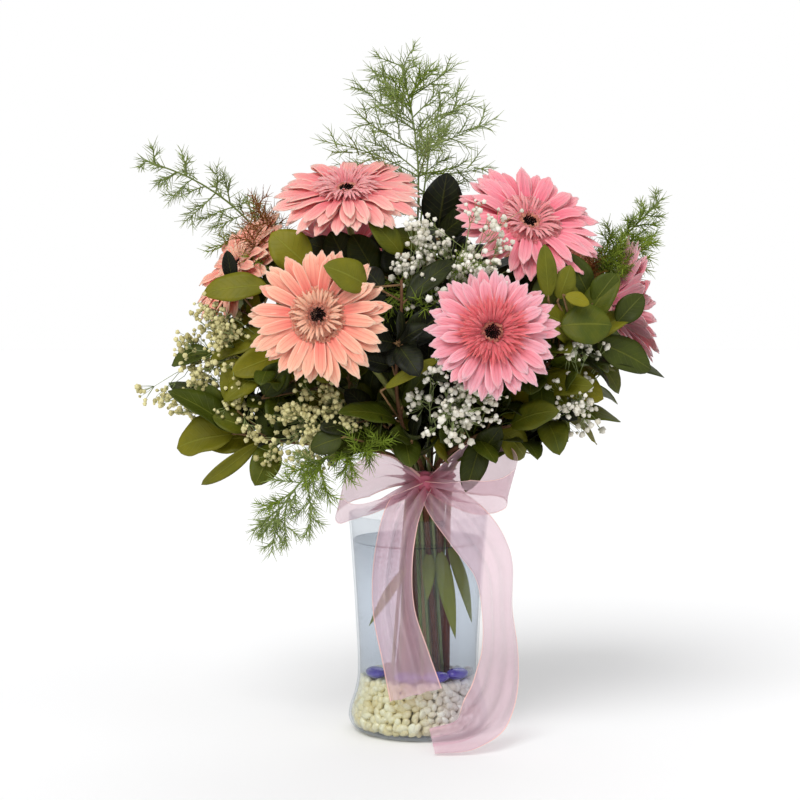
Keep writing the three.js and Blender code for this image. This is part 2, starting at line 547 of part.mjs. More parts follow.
function bloom({ size, rise, ruff }) {
  const solids = [disc({ ruff, rise })];
  PETAL_LAYERS.forEach(({ depth, length }, layer) => {
    for (let i = 0; i < PETALS; i += 1) {
      const turn = (2 * Math.PI * (i + layer / 2)) / PETALS;
      const at = (radius, height) => vector([radius, 0, height]).applyAxisAngle(UP, turn);
      const reach = size * length;
      const tip = at(reach, reach * (rise + 0.015 * ((i % 3) - 1)) - depth);
      const half = PETAL_WIDTH * size;
      solids.push(blade({ root: at(PETAL_ROOT, -depth), tip, half, ...PETAL }));
    }
  });
  return wasm.Manifold.union(solids);
}

for (const gerbera of gerberas) {
  const turn = new THREE.Quaternion().setFromUnitVectors(UP, gerbera.face);
  const frame = new THREE.Matrix4().compose(gerbera.eye, turn, vector([1, 1, 1])).elements;
  grow(`${gerbera.name}_bloom`, bloom(gerbera).transform(frame), gerbera.colour);
  grow(`${gerbera.name}_eye`, turned(EYE, EYE_SIDES).transform(frame), 'eye');
}

// ---------------------------------------------------------------- leaves, needles and florets

function growLeaf(name, root, { tip, width, face }) {
  const leaf = { root, face: vector(face), half: width / 2, ...LEAF };
  const make = (end, extra) => blade({ ...leaf, tip: end }, extra);
  const found = growClear(name, root, vector(tip), make);
  if (!found) throw new Error(`no clear place for the leaf of ${name} at ${tip}`);
  return make(found, 1.5 * GAP);
}

for (const { name, height, ...leaf } of LANCE_LEAVES) {
  const { place } = BRANCHES.find((branch) => branch.name === name);
  rooms.push(growLeaf(name, inBundle(place, height), leaf));
}
for (const { name, runs, leaves } of branches) {
  for (const leaf of leaves) growLeaf(name, runs.getPointAt(leaf.at), leaf);
}

// A twig with whorls of three needles raised from its sides. `mayRise` leaves out what isn't clear.
function needledTwig(root, tip, mayRise) {
  const along = tip.clone().sub(root);
  const length = along.length();
  const whorls = THREE.MathUtils.clamp(Math.round(length / WHORL_SPACING), 2, 3);
  const shares = Array.from({ length: whorls }, (_, i) => (i + 0.8) / (whorls + 0.6));
  const places = [0, ...shares.flatMap((share) => [share, share + NEEDLE_ROOT / length])];
  const points = places.map((share) => root.clone().addScaledVector(along, share));
  const rings = stemRings(points, places.map((share) => TWIG_RADIUS * (1 - 0.4 * share)), 3);
  const aim = along.clone().normalize();
  const needleLength = Math.min(NEEDLE_LENGTH, 0.5 * length);
  return loft([...rings, [tip]], (i, corners) => {
    if (i % 2 === 0) return null;
    const base = corners[0].clone().add(corners[1]).add(corners[2]).divideScalar(3);
    const out = base.clone().sub(points[i]).projectOnPlane(aim).normalize();
    const needle = out.multiplyScalar(Math.sin(NEEDLE_LEAN)).addScaledVector(aim, Math.cos(NEEDLE_LEAN));
    const peak = base.clone().addScaledVector(needle, needleLength * (1.1 - 0.4 * places[i]));
    return mayRise(base, peak) ? peak : null;
  });
}

const bar = (from, to, radius, sides) => stem([from, to], [radius, radius], sides);

for (const { name, runs, bare, reach, twigs } of fronds) {
  const mayRise = (base, peak) => isClear(name, bar(base, peak, 2 * CLEAR, 3));
  for (let i = 0; i < twigs; i += 1) {
    const share = (i + 0.5) / twigs;
    const at = bare + (1 - bare) * share;
    const root = runs.getPointAt(at);
    const aim = leaned(runs.getTangentAt(at), TWIG_LEAN, i * GOLDEN);
    const tip = root.clone().addScaledVector(aim, reach * (1 - 0.65 * share));
    growClear(name, root, tip, (end, extra) => (
      extra ? bar(root, end, TWIG_RADIUS + extra, 3) : needledTwig(root, end, mayRise)));
  }
}

// A floret at the end of its stalk.
function flower(from, to, radius, sides) {
  const aim = to.clone().sub(from).normalize();
  const points = [from, to.clone().addScaledVector(aim, -0.9 * FLORET_RADIUS), to];
  const rings = stemRings(points, [radius, radius, FLORET_RADIUS], sides);
  return loft([...rings, [to.clone().addScaledVector(aim, 0.9 * FLORET_RADIUS)]]);
}

// The room that a flower takes with its stalk.
function flowerRoom(from, to, radius) {
  const aim = to.clone().sub(from).normalize();
  const [back, front] = [-1.1, 1.1].map((share) => to.clone().addScaledVector(aim, share * FLORET_RADIUS));
  return bar(from, to, radius + CLEAR, 4).add(bar(back, front, FLORET_RADIUS + CLEAR, 4));
}

for (const { name, runs, crown, radii } of sprays) {
  for (let i = 0; i < FORKS; i += 1) {
    const height = 1 - (2 * i + 1) / FORKS;
    const round = Math.sqrt(1 - height * height);
    const place = vector([round * Math.cos(i * GOLDEN), round * Math.sin(i * GOLDEN), height]);
    const root = runs.getPointAt(0.7 + (0.28 * (i + 1)) / FORKS);
    const end = place.multiply(vector(radii)).multiplyScalar(0.85).add(vector(crown));
    const fork = growClear(name, root, end, (tip, extra) => (
      extra ? flowerRoom(root, tip, FORK_RADIUS) : flower(root, tip, FORK_RADIUS, FORK_SIDES)));
    if (!fork) continue;
    const aim = fork.clone().sub(root).normalize();
    const { radius, length, lean, sides } = FLOWER_STALK;
    [0.6, 0.8].forEach((share, k) => {
      const from = root.clone().lerp(fork, share);
      const to = leaned(aim, lean, i + k * Math.PI).multiplyScalar(length).add(from);
      growClear(name, from, to, (tip, extra) => (
        extra ? flowerRoom(from, tip, radius) : flower(from, tip, radius, sides)));
    });
  }
}

// ---------------------------------------------------------------- pebbles, nuggets and water

// The radius of the room inside the glass at a height, a gap clear of it.
function roomAt(height) {
  const inside = [...VASE_INSIDE].reverse();
  const above = inside.findIndex(([level]) => level >= height);
  const [[low, near], [high, far]] = [inside[above - 1], inside[above]];
  return near + ((far - near) * (height - low)) / (high - low) - GAP;
}

const nuggetRooms = NUGGET_ANGLES.map((angle, i) => {
  const turn = THREE.MathUtils.degToRad(angle);
  const middle = vector([NUGGET_RADIUS * Math.cos(turn), NUGGET_RADIUS * Math.sin(turn), NUGGET_HEIGHT]);
  const angles = [0, 0, turn + Math.PI / 2];
  grow(`violet_nugget_${i + 1}`, egg(middle, NUGGET, angles), 'violet');
  return egg(middle, NUGGET.map((radius) => radius + 2 * GAP), angles);
});

// The pebble bed: every other point of a row is a pebble that stands out, in turn from row to row.
function pebbleBed() {
  const draw = draws(7);
  const flat = Math.cos(Math.PI / VASE_SIDES); // from a corner of the glass to the middle of a side
  const row = (place, count) => Array.from({ length: PEBBLE_SIDES }, (_, i) => {
    const { radius, height } = place((i + count) % 2 === 0, draw());
    return vector([radius, 0, height]).applyAxisAngle(UP, (2 * Math.PI * i) / PEBBLE_SIDES);
  });
  const wall = PEBBLE_WALL.map((level) => (pebble, shift) => {
    const height = level + 2 * shift - 1;
    return { height, radius: roomAt(height) * flat - (pebble ? PEBBLE_SLACK * shift : PEBBLE_RELIEF) };
  });
  const top = PEBBLE_TOP.map((radius) => (pebble, shift) => (
    { radius, height: PEBBLE_BED_TOP - (pebble ? PEBBLE_SLACK * shift : PEBBLE_RELIEF) }));
  const floor = () => ({ radius: VASE_INSIDE.at(-1)[1] - 1, height: VASE_INSIDE.at(-1)[0] + GAP });
  return loft([floor, ...wall, ...top].map(row));
}

grow('pebble_bed', pebbleBed().subtract(wasm.Manifold.union(nuggetRooms)), 'pebble');

const waterRows = [WATER_FLOOR, 90, WATER_LEVEL].map((height) => [height, roomAt(height)]);
const water = turned(waterRows, VASE_SIDES);
grow('water', water.subtract(wasm.Manifold.union([...rooms, ...nuggetRooms])), 'water');

// ---------------------------------------------------------------- the bouquet in its vase

const bouquet = new THREE.Group();
for (const [name, { colour, grown }] of nodes) {
  const { vertProperties, triVerts } = wasm.Manifold.union(grown.map(({ shape }) => shape)).getMesh();
  const geometry = new THREE.BufferGeometry();
  geometry.setAttribute('position', new THREE.BufferAttribute(vertProperties, 3));
  geometry.setIndex(new THREE.BufferAttribute(triVerts, 1));
  const [tint, roughness] = COLOURS[colour];
  const finish = new THREE.MeshStandardMaterial({ color: tint, roughness, flatShading: true });
  const mesh = new THREE.Mesh(geometry, finish);
  mesh.name = name;
  bouquet.add(mesh);
}

export default bouquet;
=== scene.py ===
"""Gerberas in a glass vase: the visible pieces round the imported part.

Lengths in the tables are millimetres in the part's own frame, +Z up and -Y the front, and meshes are
written in metres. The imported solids' own shoots are found by their tips, and finer ones stand between.
"""

import logging
import math
from dataclasses import dataclass, field, replace
from enum import Enum
from typing import Any, Callable, Optional, Sequence

import bmesh
import bpy
import numpy as np
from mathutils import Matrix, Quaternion, Vector
from mathutils.bvhtree import BVHTree
from mathutils.kdtree import KDTree


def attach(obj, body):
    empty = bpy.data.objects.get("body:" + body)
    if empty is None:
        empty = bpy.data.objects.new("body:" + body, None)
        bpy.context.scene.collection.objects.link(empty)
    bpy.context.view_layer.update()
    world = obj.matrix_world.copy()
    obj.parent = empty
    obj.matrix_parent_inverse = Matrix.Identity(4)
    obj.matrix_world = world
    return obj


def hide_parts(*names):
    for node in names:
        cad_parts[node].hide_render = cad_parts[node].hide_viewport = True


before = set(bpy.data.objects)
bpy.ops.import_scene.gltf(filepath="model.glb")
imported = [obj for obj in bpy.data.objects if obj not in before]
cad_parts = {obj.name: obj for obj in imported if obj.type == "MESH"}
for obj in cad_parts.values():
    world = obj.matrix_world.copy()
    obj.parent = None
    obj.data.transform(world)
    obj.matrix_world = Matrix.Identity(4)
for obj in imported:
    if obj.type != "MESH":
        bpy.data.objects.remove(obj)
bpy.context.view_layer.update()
LOG = logging.getLogger("gerberas")

# -------------------- driving dimensions, as in the part

MM = 0.001
BODY = "root"
GAP = 0.35
GOLDEN = math.pi * (3 - math.sqrt(5))
ROUND = 2 * math.pi
UP = np.array([0.0, 0.0, 1.0])

VASE_OUTSIDE = [(0, 40), (3, 46), (9, 49.5), (16, 49), (27, 45.5), (40, 43.2), (90, 45), (156, 49.5)]
WATER_FLOOR = 42.0
WATER_LEVEL = 137.0
NUGGET = (9.0, 6.2, 3.6)
NUGGET_ANGLES = (205, 257, 291, 327)
NUGGET_RADIUS = 32.8
NUGGET_HEIGHT = 43.4

TIE = np.array([8.0, -2.0, 180.0])
FOOT = np.array([0.0, 0.0, 42.0])
TWIST = math.radians(50)
SPREAD = 1.45
LIFT = 10.0
INNER = 5.3
MIDDLE = 10.5
OUTER = 15.5

CALYX_DEPTH = 7.5
CALYX = [(0, 2.3), (3, 4), (8, 8.5), (11, 9.6)]
TWIG_LEAN = math.radians(58)
FORKS = 4
FLOWER_LENGTH = 15.0
FLOWER_LEAN = math.radians(55)
FLORET_RADIUS = 3.1
BENDS = 26
BEND = math.radians(7)

KNOT = np.array([4.0, -27.0, 180.0])
RIBBON_WIDTH = 42.0

Points = np.ndarray
Pair = tuple[float, float]
Triple = tuple[float, float, float]
Colour = Triple
Object = bpy.types.Object
Material = bpy.types.Material
Finishes = Sequence[Material]


# -------------------- vectors and curves


def vec(*values: float) -> Points:
    """A point or direction from its three numbers."""
    return np.array(values, float)


def polar(radius: float, turn: float, height: float = 0.0) -> Points:
    """A point from its distance to the Z axis, its turn about it and its height."""
    return vec(radius * math.cos(turn), radius * math.sin(turn), height)


def random_turn(draw: np.random.Generator) -> Points:
    """A random rotation, as a matrix."""
    return np.array(Quaternion(draw.normal(size=4)).normalized().to_matrix())


def lengths(points: Points) -> Points:
    """How far along a line each of its points is."""
    return np.concatenate([[0], np.cumsum(np.linalg.norm(np.diff(points, axis=0), axis=1))])


def unit(direction: Points) -> Points:
    """The direction at length 1."""
    return direction / np.linalg.norm(direction)


def turned_about(direction: Points, axis: Points, angle: float) -> Points:
    """A direction turned by an angle in radians about an axis of length 1, by the right-hand rule."""
    cos, sin = math.cos(angle), math.sin(angle)
    return direction * cos + np.cross(axis, direction) * sin + axis * (axis @ direction) * (1 - cos)


def leaned(axis: Points, lean: float, turn: float) -> Points:
    """A direction leaned away from an axis, to the side that a turn gives.

    Args:
        axis: The axis, of length 1.
        lean: The angle from the axis, in radians.
        turn: The turn about the axis, in radians.

    Returns:
        The leaned direction.
    """
    towards = vec(1, 0.2, 0)
    out = unit(towards - axis * (towards @ axis))
    return turned_about(axis, turned_about(out, axis, turn), lean)


def centripetal(points: Points, steps: int) -> Points:
    """Points of a centripetal Catmull-Rom curve, in even steps of its parameter.

    Args:
        points: The points that the curve goes through. Columns past the third are carried along.
        steps: The number of steps.

    Returns:
        One row for each step and one more.
    """
    rows = np.vstack([2 * points[0] - points[1], points, 2 * points[-1] - points[-2]])
    spans = len(points) - 1
    made = []
    for i in range(steps + 1):
        place = spans * i / steps
        at = min(int(place), spans - 1)
        w = place - at
        a, b, c, d = rows[at:at + 4]
        spans_here = ((a, b), (b, c), (c, d))
        before, here, after = (max(np.linalg.norm((q - p)[:3]), 1e-6) ** 0.5 for p, q in spans_here)
        start = ((b - a) / before - (c - a) / (before + here) + (c - b) / here) * here
        end = ((c - b) / here - (d - b) / (here + after) + (d - c) / after) * here
        made.append(b + start * w + (3 * (c - b) - 2 * start - end) * w ** 2
                    + (2 * (b - c) + start + end) * w ** 3)
    return np.array(made)


def rounded(points: Points, times: int = 2) -> Points:
    """A line of points with its corners cut, as a stem bends.

    Args:
        points: The line.
        times: How often each corner is cut.

    Returns:
        The rounded line with the same two ends.
    """
    for _ in range(times):
        near, far = points[:-1] * 0.75 + points[1:] * 0.25, points[:-1] * 0.25 + points[1:] * 0.75
        inner = np.stack([near, far], axis=1).reshape(-1, points.shape[1])
        points = np.vstack([points[:1], inner[1:-1], points[-1:]])
    return points


def in_bundle(place: Pair, height: float) -> Points:
    """A point of a stem's straight lower part.

    Args:
        place: The stem's ring and angle at the tie, in millimetres and degrees.
        height: The height in millimetres.

    Returns:
        The point.
    """
    radius, angle = place
    out = turned_about(vec(radius, 0, 0), UP, math.radians(angle))
    foot = turned_about(out, UP, TWIST) * SPREAD + FOOT
    share = (TIE[2] - height) / (TIE[2] - FOOT[2])
    return (out + TIE) * (1 - share) + foot * share


def at_tie(place: Pair) -> list[Points]:
    """The two points between which a stem runs straight through the tie."""
    return [in_bundle(place, TIE[2] - LIFT), in_bundle(place, TIE[2] + LIFT)]


class Runs:
    """The straight runs that a stem follows from just below the tie, measured by length."""

    SAMPLES = 200

    def __init__(self, points: Points) -> None:
        """Measures the runs.

        Args:
            points: The points that they go through.
        """
        self.points = points
        self.marks = lengths(points)
        shares = np.linspace(0, 1, self.SAMPLES + 1)
        sampled = np.array([self.by_length(share) for share in shares])
        self.arc = lengths(sampled)

    @classmethod
    def of(cls, place: Pair, way: Sequence, steps: int) -> "Runs":
        """The runs of a stem, from its place at the tie and the points that it goes through above it."""
        return cls(centripetal(np.array([*at_tie(place), *way], float), steps))

    def stem(self, place: Pair) -> Points:
        """The middle line of the whole stem, from its foot on the pebbles."""
        return np.vstack([in_bundle(place, FOOT[2] + GAP), rounded(self.points)])

    def by_length(self, share: float) -> Points:
        """The point at a share of the whole length."""
        along = share * self.marks[-1]
        return np.array([np.interp(along, self.marks, self.points[:, i]) for i in range(3)])

    def share(self, at: float) -> float:
        """The share of the length at a share of the sampled length."""
        return float(np.interp(at * self.arc[-1], self.arc, np.linspace(0, 1, self.SAMPLES + 1)))

    def at(self, at: float) -> Points:
        """The point at a share of the runs."""
        return self.by_length(self.share(at))

    def tangent(self, at: float) -> Points:
        """The direction at a share of the runs."""
        share, step = self.share(at), 0.0001
        return unit(self.by_length(min(1, share + step)) - self.by_length(max(0, share - step)))


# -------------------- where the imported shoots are


def bent_tip(root: Points, tip: Points, bend: int) -> Points:
    """The tip of a shoot bent aside, further each time and to a new side.

    Args:
        root: The shoot's root.
        tip: Its tip before it is bent.
        bend: Which bend it is, from 0.

    Returns:
        The bent tip.
    """
    reach = tip - root
    length = np.linalg.norm(reach)
    level = UP if abs(reach[2]) < 0.8 * length else vec(1, 0, 0)
    axis = turned_about(unit(np.cross(reach, level)), reach / length, bend * GOLDEN)
    return root + turned_about(reach, axis, BEND * math.sqrt(bend))


class Packed:
    """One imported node's points, in millimetres, in which shoots are found by their tips."""

    def __init__(self, node: str) -> None:
        """Reads the node's points.

        Args:
            node: The node's name.
        """
        points = np.array([tuple(v.co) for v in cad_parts[node].data.vertices]) / MM
        self.tree = KDTree(len(points))
        for i, point in enumerate(points):
            self.tree.insert(point, i)
        self.tree.balance()

    def find(self, root: Points, tip: Points, over: float = 0.0, within: float = 0.6) -> Optional[Points]:
        """The tip at which a shoot really is.

        Args:
            root: The shoot's root.
            tip: Its tip before it is bent.
            over: How far its last point stands past the tip.
            within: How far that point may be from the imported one.

        Returns:
            The tip, or None where the shoot was left out.
        """
        for bend in range(BENDS):
            found = bent_tip(root, tip, bend)
            last = found + unit(found - root) * over
            if self.tree.find(last)[2] < within:
                return found
        return None


def packed_surface(*skipped: str) -> BVHTree:
    """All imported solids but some, as one surface in metres that can be asked for its nearest point.

    Args:
        skipped: How the names of the nodes that are skipped start.

    Returns:
        The surface.
    """
    points, faces = [], []
    for name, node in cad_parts.items():
        if name.startswith(skipped):
            continue
        base = len(points)
        points.extend(v.co.copy() for v in node.data.vertices)
        faces.extend([base + i for i in face.vertices] for face in node.data.polygons)
    return BVHTree.FromPolygons(points, faces)


def clear_of(surface: BVHTree, place: Points, reach: float) -> bool:
    """Whether a surface stays further from a place in millimetres than a reach in metres."""
    return surface.find_nearest(Vector(place * MM), reach)[0] is None


# -------------------- shapes and meshes


@dataclass(frozen=True)
class Shape:
    """Points, faces as one run of corners with each face's count, and a UV for each point."""

    points: Points
    corners: np.ndarray
    sizes: np.ndarray
    uv: Points


Shapes = dict[str, Shape]


def deselect() -> None:
    """Leaves nothing selected, so that an operator acts only on what comes next."""
    if bpy.context.mode != "OBJECT":
        bpy.ops.object.mode_set(mode="OBJECT")
    bpy.ops.object.select_all(action="DESELECT")


def apply(piece: Object, kind: str, **settings: Any) -> None:
    """Adds a modifier to a piece and applies it.

    Args:
        piece: The piece, which becomes the active object.
        kind: The modifier's type.
        settings: The modifier's settings by name.
    """
    deselect()
    bpy.context.view_layer.objects.active = piece
    modifier = piece.modifiers.new(kind.title(), kind)
    for name, value in settings.items():
        setattr(modifier, name, value)
    bpy.ops.object.modifier_apply(modifier=modifier.name)


def select_where(piece: Object, test: Callable[[Vector], bool]) -> None:
    """Selects points of a piece in edit mode.

    Args:
        piece: The piece.
        test: Whether a point is selected, by its place.
    """
    mesh = bmesh.from_edit_mesh(piece.data)
    for face in mesh.faces:
        face.select = False
    for vertex in mesh.verts:
        vertex.select = test(vertex.co)
    mesh.select_flush_mode()
    bmesh.update_edit_mesh(piece.data)


def taken(piece: Object) -> Shape:
    """The shape of a modelled object, which is then removed.

    Args:
        piece: The object.

    Returns:
        Its points, faces and UVs.
    """
    mesh = piece.data
    points = np.zeros(len(mesh.vertices) * 3)
    mesh.vertices.foreach_get("co", points)
    corners = np.zeros(len(mesh.loops), int)
    mesh.loops.foreach_get("vertex_index", corners)
    sizes = np.zeros(len(mesh.polygons), int)
    mesh.polygons.foreach_get("loop_total", sizes)
    uv = np.zeros((len(mesh.vertices), 2))
    if mesh.uv_layers.active:
        read = np.zeros(len(mesh.loops) * 2)
        mesh.uv_layers.active.data.foreach_get("uv", read)
        uv[corners] = read.reshape(-1, 2)
    bpy.data.objects.remove(piece)
    bpy.data.meshes.remove(mesh)
    return Shape(points.reshape(-1, 3), corners, sizes, uv)


def blade_shape(rows: int, columns: int, outline: Callable[[float], float]) -> Shape:
    """A flat blade one long along X, shaped row by row, with a wall one thick along Z.

    Args:
        rows: Its rows along its length.
        columns: Its columns across.
        outline: Half its width at a share of its length.

    Returns:
        The blade, with U across and V along it.
    """
    deselect()
    bpy.ops.mesh.primitive_grid_add(x_subdivisions=rows, y_subdivisions=columns, size=1, location=(0, 0, 0))
    blade = bpy.context.object
    bpy.ops.object.mode_set(mode="EDIT")
    for i in range(rows + 1):
        place = i / rows - 0.5
        select_where(blade, lambda point, place=place: abs(point.x - place) < 0.01 / rows)
        width = 2 * max(outline(i / rows), 0.004)
        bpy.ops.transform.resize(value=(1, width, 1), center_override=(place, 0, 0))
    bpy.ops.mesh.select_all(action="SELECT")
    bpy.ops.transform.translate(value=(0.5, 0, 0))
    bpy.ops.object.mode_set(mode="OBJECT")
    apply(blade, "SOLIDIFY", thickness=1, offset=0, use_even_offset=False)
    shape = taken(blade)
    return replace(shape, uv=shape.uv[:, ::-1].copy())


def needle_shape() -> Shape:
    """A needle one long along X from the origin, and one wide at its root.

    Returns:
        The needle, which has three sides.
    """
    deselect()
    bpy.ops.mesh.primitive_cone_add(
        vertices=3, radius1=0.5, radius2=0.12, depth=1, end_fill_type="TRIFAN", location=(0, 0, 0.5)
    )
    needle = bpy.context.object
    bpy.ops.object.transform_apply(location=True)
    shape = taken(needle)
    points = shape.points[:, [2, 0, 1]]
    return replace(shape, points=points, uv=np.stack([points[:, 1] + 0.5, points[:, 0]], axis=1))


def ball_shape(level: int, rough: float, seed: int) -> Shape:
    """A ball of radius 1 with dents, as a pebble or a floret has.

    Args:
        level: How finely it is split.
        rough: How deep its dents are.
        seed: The seed of the dents.

    Returns:
        The ball.
    """
    deselect()
    bpy.ops.mesh.primitive_ico_sphere_add(subdivisions=level, radius=1)
    shape = taken(bpy.context.object)
    draw = np.random.default_rng(seed)
    waves = draw.normal(size=(6, 3)) * 2.2
    dents = np.sin(shape.points @ waves.T + draw.uniform(0, 6, 6)).mean(axis=1)
    return replace(shape, points=shape.points * (1 + rough * dents)[:, None])


def floret_shape() -> Shape:
    """A ruffled floret of radius 1 about +Z, with its petals standing out of a ball.

    Returns:
        The floret.
    """
    shape = ball_shape(2, 0, 0)
    x, y, z = shape.points.T
    turn = np.arctan2(y, x)
    ruffles = np.array([[5.1, 3.3, -2.2], [-3.7, 5.5, 2.9], [2.3, -3.1, 6.1]])
    ripple = np.sin(shape.points @ ruffles).prod(axis=1)
    frill = 1 + 0.18 * np.cos(5 * turn) * np.sqrt(np.clip(1 - z ** 2, 0, 1)) + 0.42 * ripple
    return replace(shape, points=shape.points * frill[:, None])


def tube(points: Points, radii: Sequence[float] | Points, sides: int) -> Shape:
    """A round stem through points, closed at both ends.

    Args:
        points: The stem's middle line.
        radii: Its radius at each point.
        sides: How many sides it has.

    Returns:
        The stem, with U round it and V along it in millimetres.
    """
    count = len(points)
    side = vec(1, 0.2, 0.1)
    turns = ROUND * np.arange(sides) / sides
    rings = []
    for i in range(count):
        run = unit(points[min(i + 1, count - 1)] - points[max(i - 1, 0)])
        side = unit(side - run * (side @ run))
        other = np.cross(run, side)
        rings.append(points[i] + radii[i] * (np.cos(turns)[:, None] * side + np.sin(turns)[:, None] * other))
    marks = lengths(points)
    uv = np.stack([np.tile(np.arange(sides) / sides, count), np.repeat(marks, sides)], axis=1)
    here = np.arange(sides)
    there = (here + 1) % sides
    quads = np.concatenate([np.stack([b + here, b + there, b + sides + there, b + sides + here], axis=1)
                            for b in range(0, (count - 1) * sides, sides)])
    last = (count - 1) * sides
    corners = np.concatenate([quads.ravel(), here[::-1], last + here])
    sizes = np.concatenate([np.full(len(quads), 4), [sides, sides]])
    return Shape(np.concatenate(rings), corners, sizes, uv)


@dataclass
class Mesh:
    """Copies of shapes that become one piece of the object."""

    name: str
    slot: str
    nodes: tuple[str, ...]
    finishes: Finishes
    parts: list = field(default_factory=list)

    def add(self, shape: Shape, points: Optional[Points] = None, tint: float = 0.5, finish: int = 0) -> None:
        """Adds a shape, with its points in place in millimetres, a tint from 0 to 1 and its finish."""
        self.parts.append((shape, shape.points if points is None else points, tint, finish))

    def made(self, smooth: bool = True) -> Object:
        """Makes the piece, parents it to the frame and hides the imported nodes that it stands for.

        Args:
            smooth: Whether its faces are shaded smooth.

        Returns:
            The piece.
        """
        counts = [len(points) for _, points, _, _ in self.parts]
        bases = np.concatenate([[0], np.cumsum(counts)[:-1]]).astype(int)
        corners = np.concatenate([shape.corners + base for (shape, *_), base in zip(self.parts, bases)])
        sizes = np.concatenate([shape.sizes for shape, *_ in self.parts])
        points = np.concatenate([points for _, points, _, _ in self.parts]) * MM
        uv = np.concatenate([shape.uv for shape, *_ in self.parts])
        tints = np.concatenate([np.broadcast_to(part[2], count) for part, count in zip(self.parts, counts)])
        faces = [len(shape.sizes) for shape, *_ in self.parts]
        finishes = np.repeat([finish for *_, finish in self.parts], faces)
        mesh = bpy.data.meshes.new(self.name)
        mesh.vertices.add(len(points))
        mesh.vertices.foreach_set("co", points.ravel())
        mesh.loops.add(len(corners))
        mesh.loops.foreach_set("vertex_index", corners.astype(np.int32))
        mesh.polygons.add(len(sizes))
        mesh.polygons.foreach_set("loop_start", np.concatenate([[0], np.cumsum(sizes)[:-1]]).astype(np.int32))
        mesh.polygons.foreach_set("material_index", finishes.astype(np.int32))
        mesh.polygons.foreach_set("use_smooth", np.full(len(sizes), smooth))
        mesh.uv_layers.new(name="UVMap").data.foreach_set("uv", uv[corners].astype(np.float32).ravel())
        mesh.attributes.new("tint", "FLOAT", "POINT").data.foreach_set("value", tints.astype(np.float32))
        mesh.update(calc_edges=True)
        mesh.validate()
        piece = bpy.data.objects.new(self.name, mesh)
        bpy.context.scene.collection.objects.link(piece)
        return settled(piece, self.nodes, self.finishes)


def settled(piece: Object, nodes: Sequence[str], finishes: Finishes) -> Object:
    """Gives a piece its finishes and its place in the frame.

    Args:
        piece: The piece.
        nodes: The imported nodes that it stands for.
        finishes: Its materials.

    Returns:
        The piece.
    """
    for finish in finishes:
        piece.data.materials.append(finish)
    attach(piece, BODY)
    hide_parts(*nodes)
    LOG.info("%s: %d faces", piece.name, len(piece.data.polygons))
    return piece


def lathe(name: str, rows: Sequence[Pair], steps: int = 96) -> Object:
    """A turned body, spun from its profile.

    Args:
        name: The object's name.
        rows: Heights and radii in millimetres, from one end of the axis to the other.
        steps: How many sides it gets.

    Returns:
        The object, in metres.
    """
    deselect()
    mesh = bpy.data.meshes.new(name)
    points = [(radius * MM, 0, height * MM) for height, radius in rows]
    mesh.from_pydata(points, [(i, i + 1) for i in range(len(points) - 1)], [])
    body = bpy.data.objects.new(name, mesh)
    bpy.context.scene.collection.objects.link(body)
    body.select_set(True)
    bpy.context.view_layer.objects.active = body
    bpy.ops.object.mode_set(mode="EDIT")
    bpy.ops.mesh.select_all(action="SELECT")
    bpy.ops.mesh.spin(steps=steps, angle=ROUND, center=(0, 0, 0), axis=(0, 0, 1))
    bpy.ops.mesh.select_all(action="SELECT")
    bpy.ops.mesh.remove_doubles(threshold=1e-6)
    bpy.ops.mesh.normals_make_consistent(inside=False)
    bpy.ops.object.mode_set(mode="OBJECT")
    bpy.ops.object.shade_smooth()
    return body


@dataclass(frozen=True)
class Bend:
    """How a blade is bent between its root and its tip."""

    arch: float = 0.07
    droop: float = 0.0
    cup: float = 0.0
    groove: float = 0.0
    wave: float = 0.0
    twist: float = 0.0
    thick: float = 0.4

    def lay(
        self, blade: Shape, root: Points, tip: Points, face: Points, half: float, phase: float = 0.0
    ) -> Points:
        """Places a blade.

        Args:
            blade: The blade, one long and one to each side.
            root: Where it starts.
            tip: Where it ends.
            face: Roughly where its upper face looks.
            half: Half its greatest width.
            phase: Where its waves start.

        Returns:
            The blade's points in place.
        """
        along = tip - root
        length = np.linalg.norm(along)
        side = unit(np.cross(along, face))
        up = unit(np.cross(side, along))
        share, across, wall = blade.points.T
        edge = 2 * blade.uv[:, 0] - 1
        rise = length * (4 * self.arch * share * (1 - share) - self.droop * share ** 3)
        rise = rise + self.cup * half * across ** 2
        rise = rise + self.groove * np.cos(3 * np.pi * edge) * np.sin(np.pi * np.clip(share, 0, 1)) ** 0.5
        rise = rise + self.wave * np.sin(ROUND * 1.7 * share + phase) * edge ** 2 * np.sin(np.pi * share)
        rise = rise + wall * self.thick
        turn = self.twist * share
        out = across * half
        leaning = out * np.cos(turn)
        raised = out * np.sin(turn) + rise
        return root + share[:, None] * along + leaning[:, None] * side + raised[:, None] * up


# -------------------- finishes


def linear(colour: Colour) -> tuple[float, float, float, float]:
    """A colour as it is seen, from 0 to 1, in the numbers that a shader takes."""
    return tuple((c / 12.92 if c <= 0.04045 else ((c + 0.055) / 1.055) ** 2.4) for c in colour) + (1.0,)


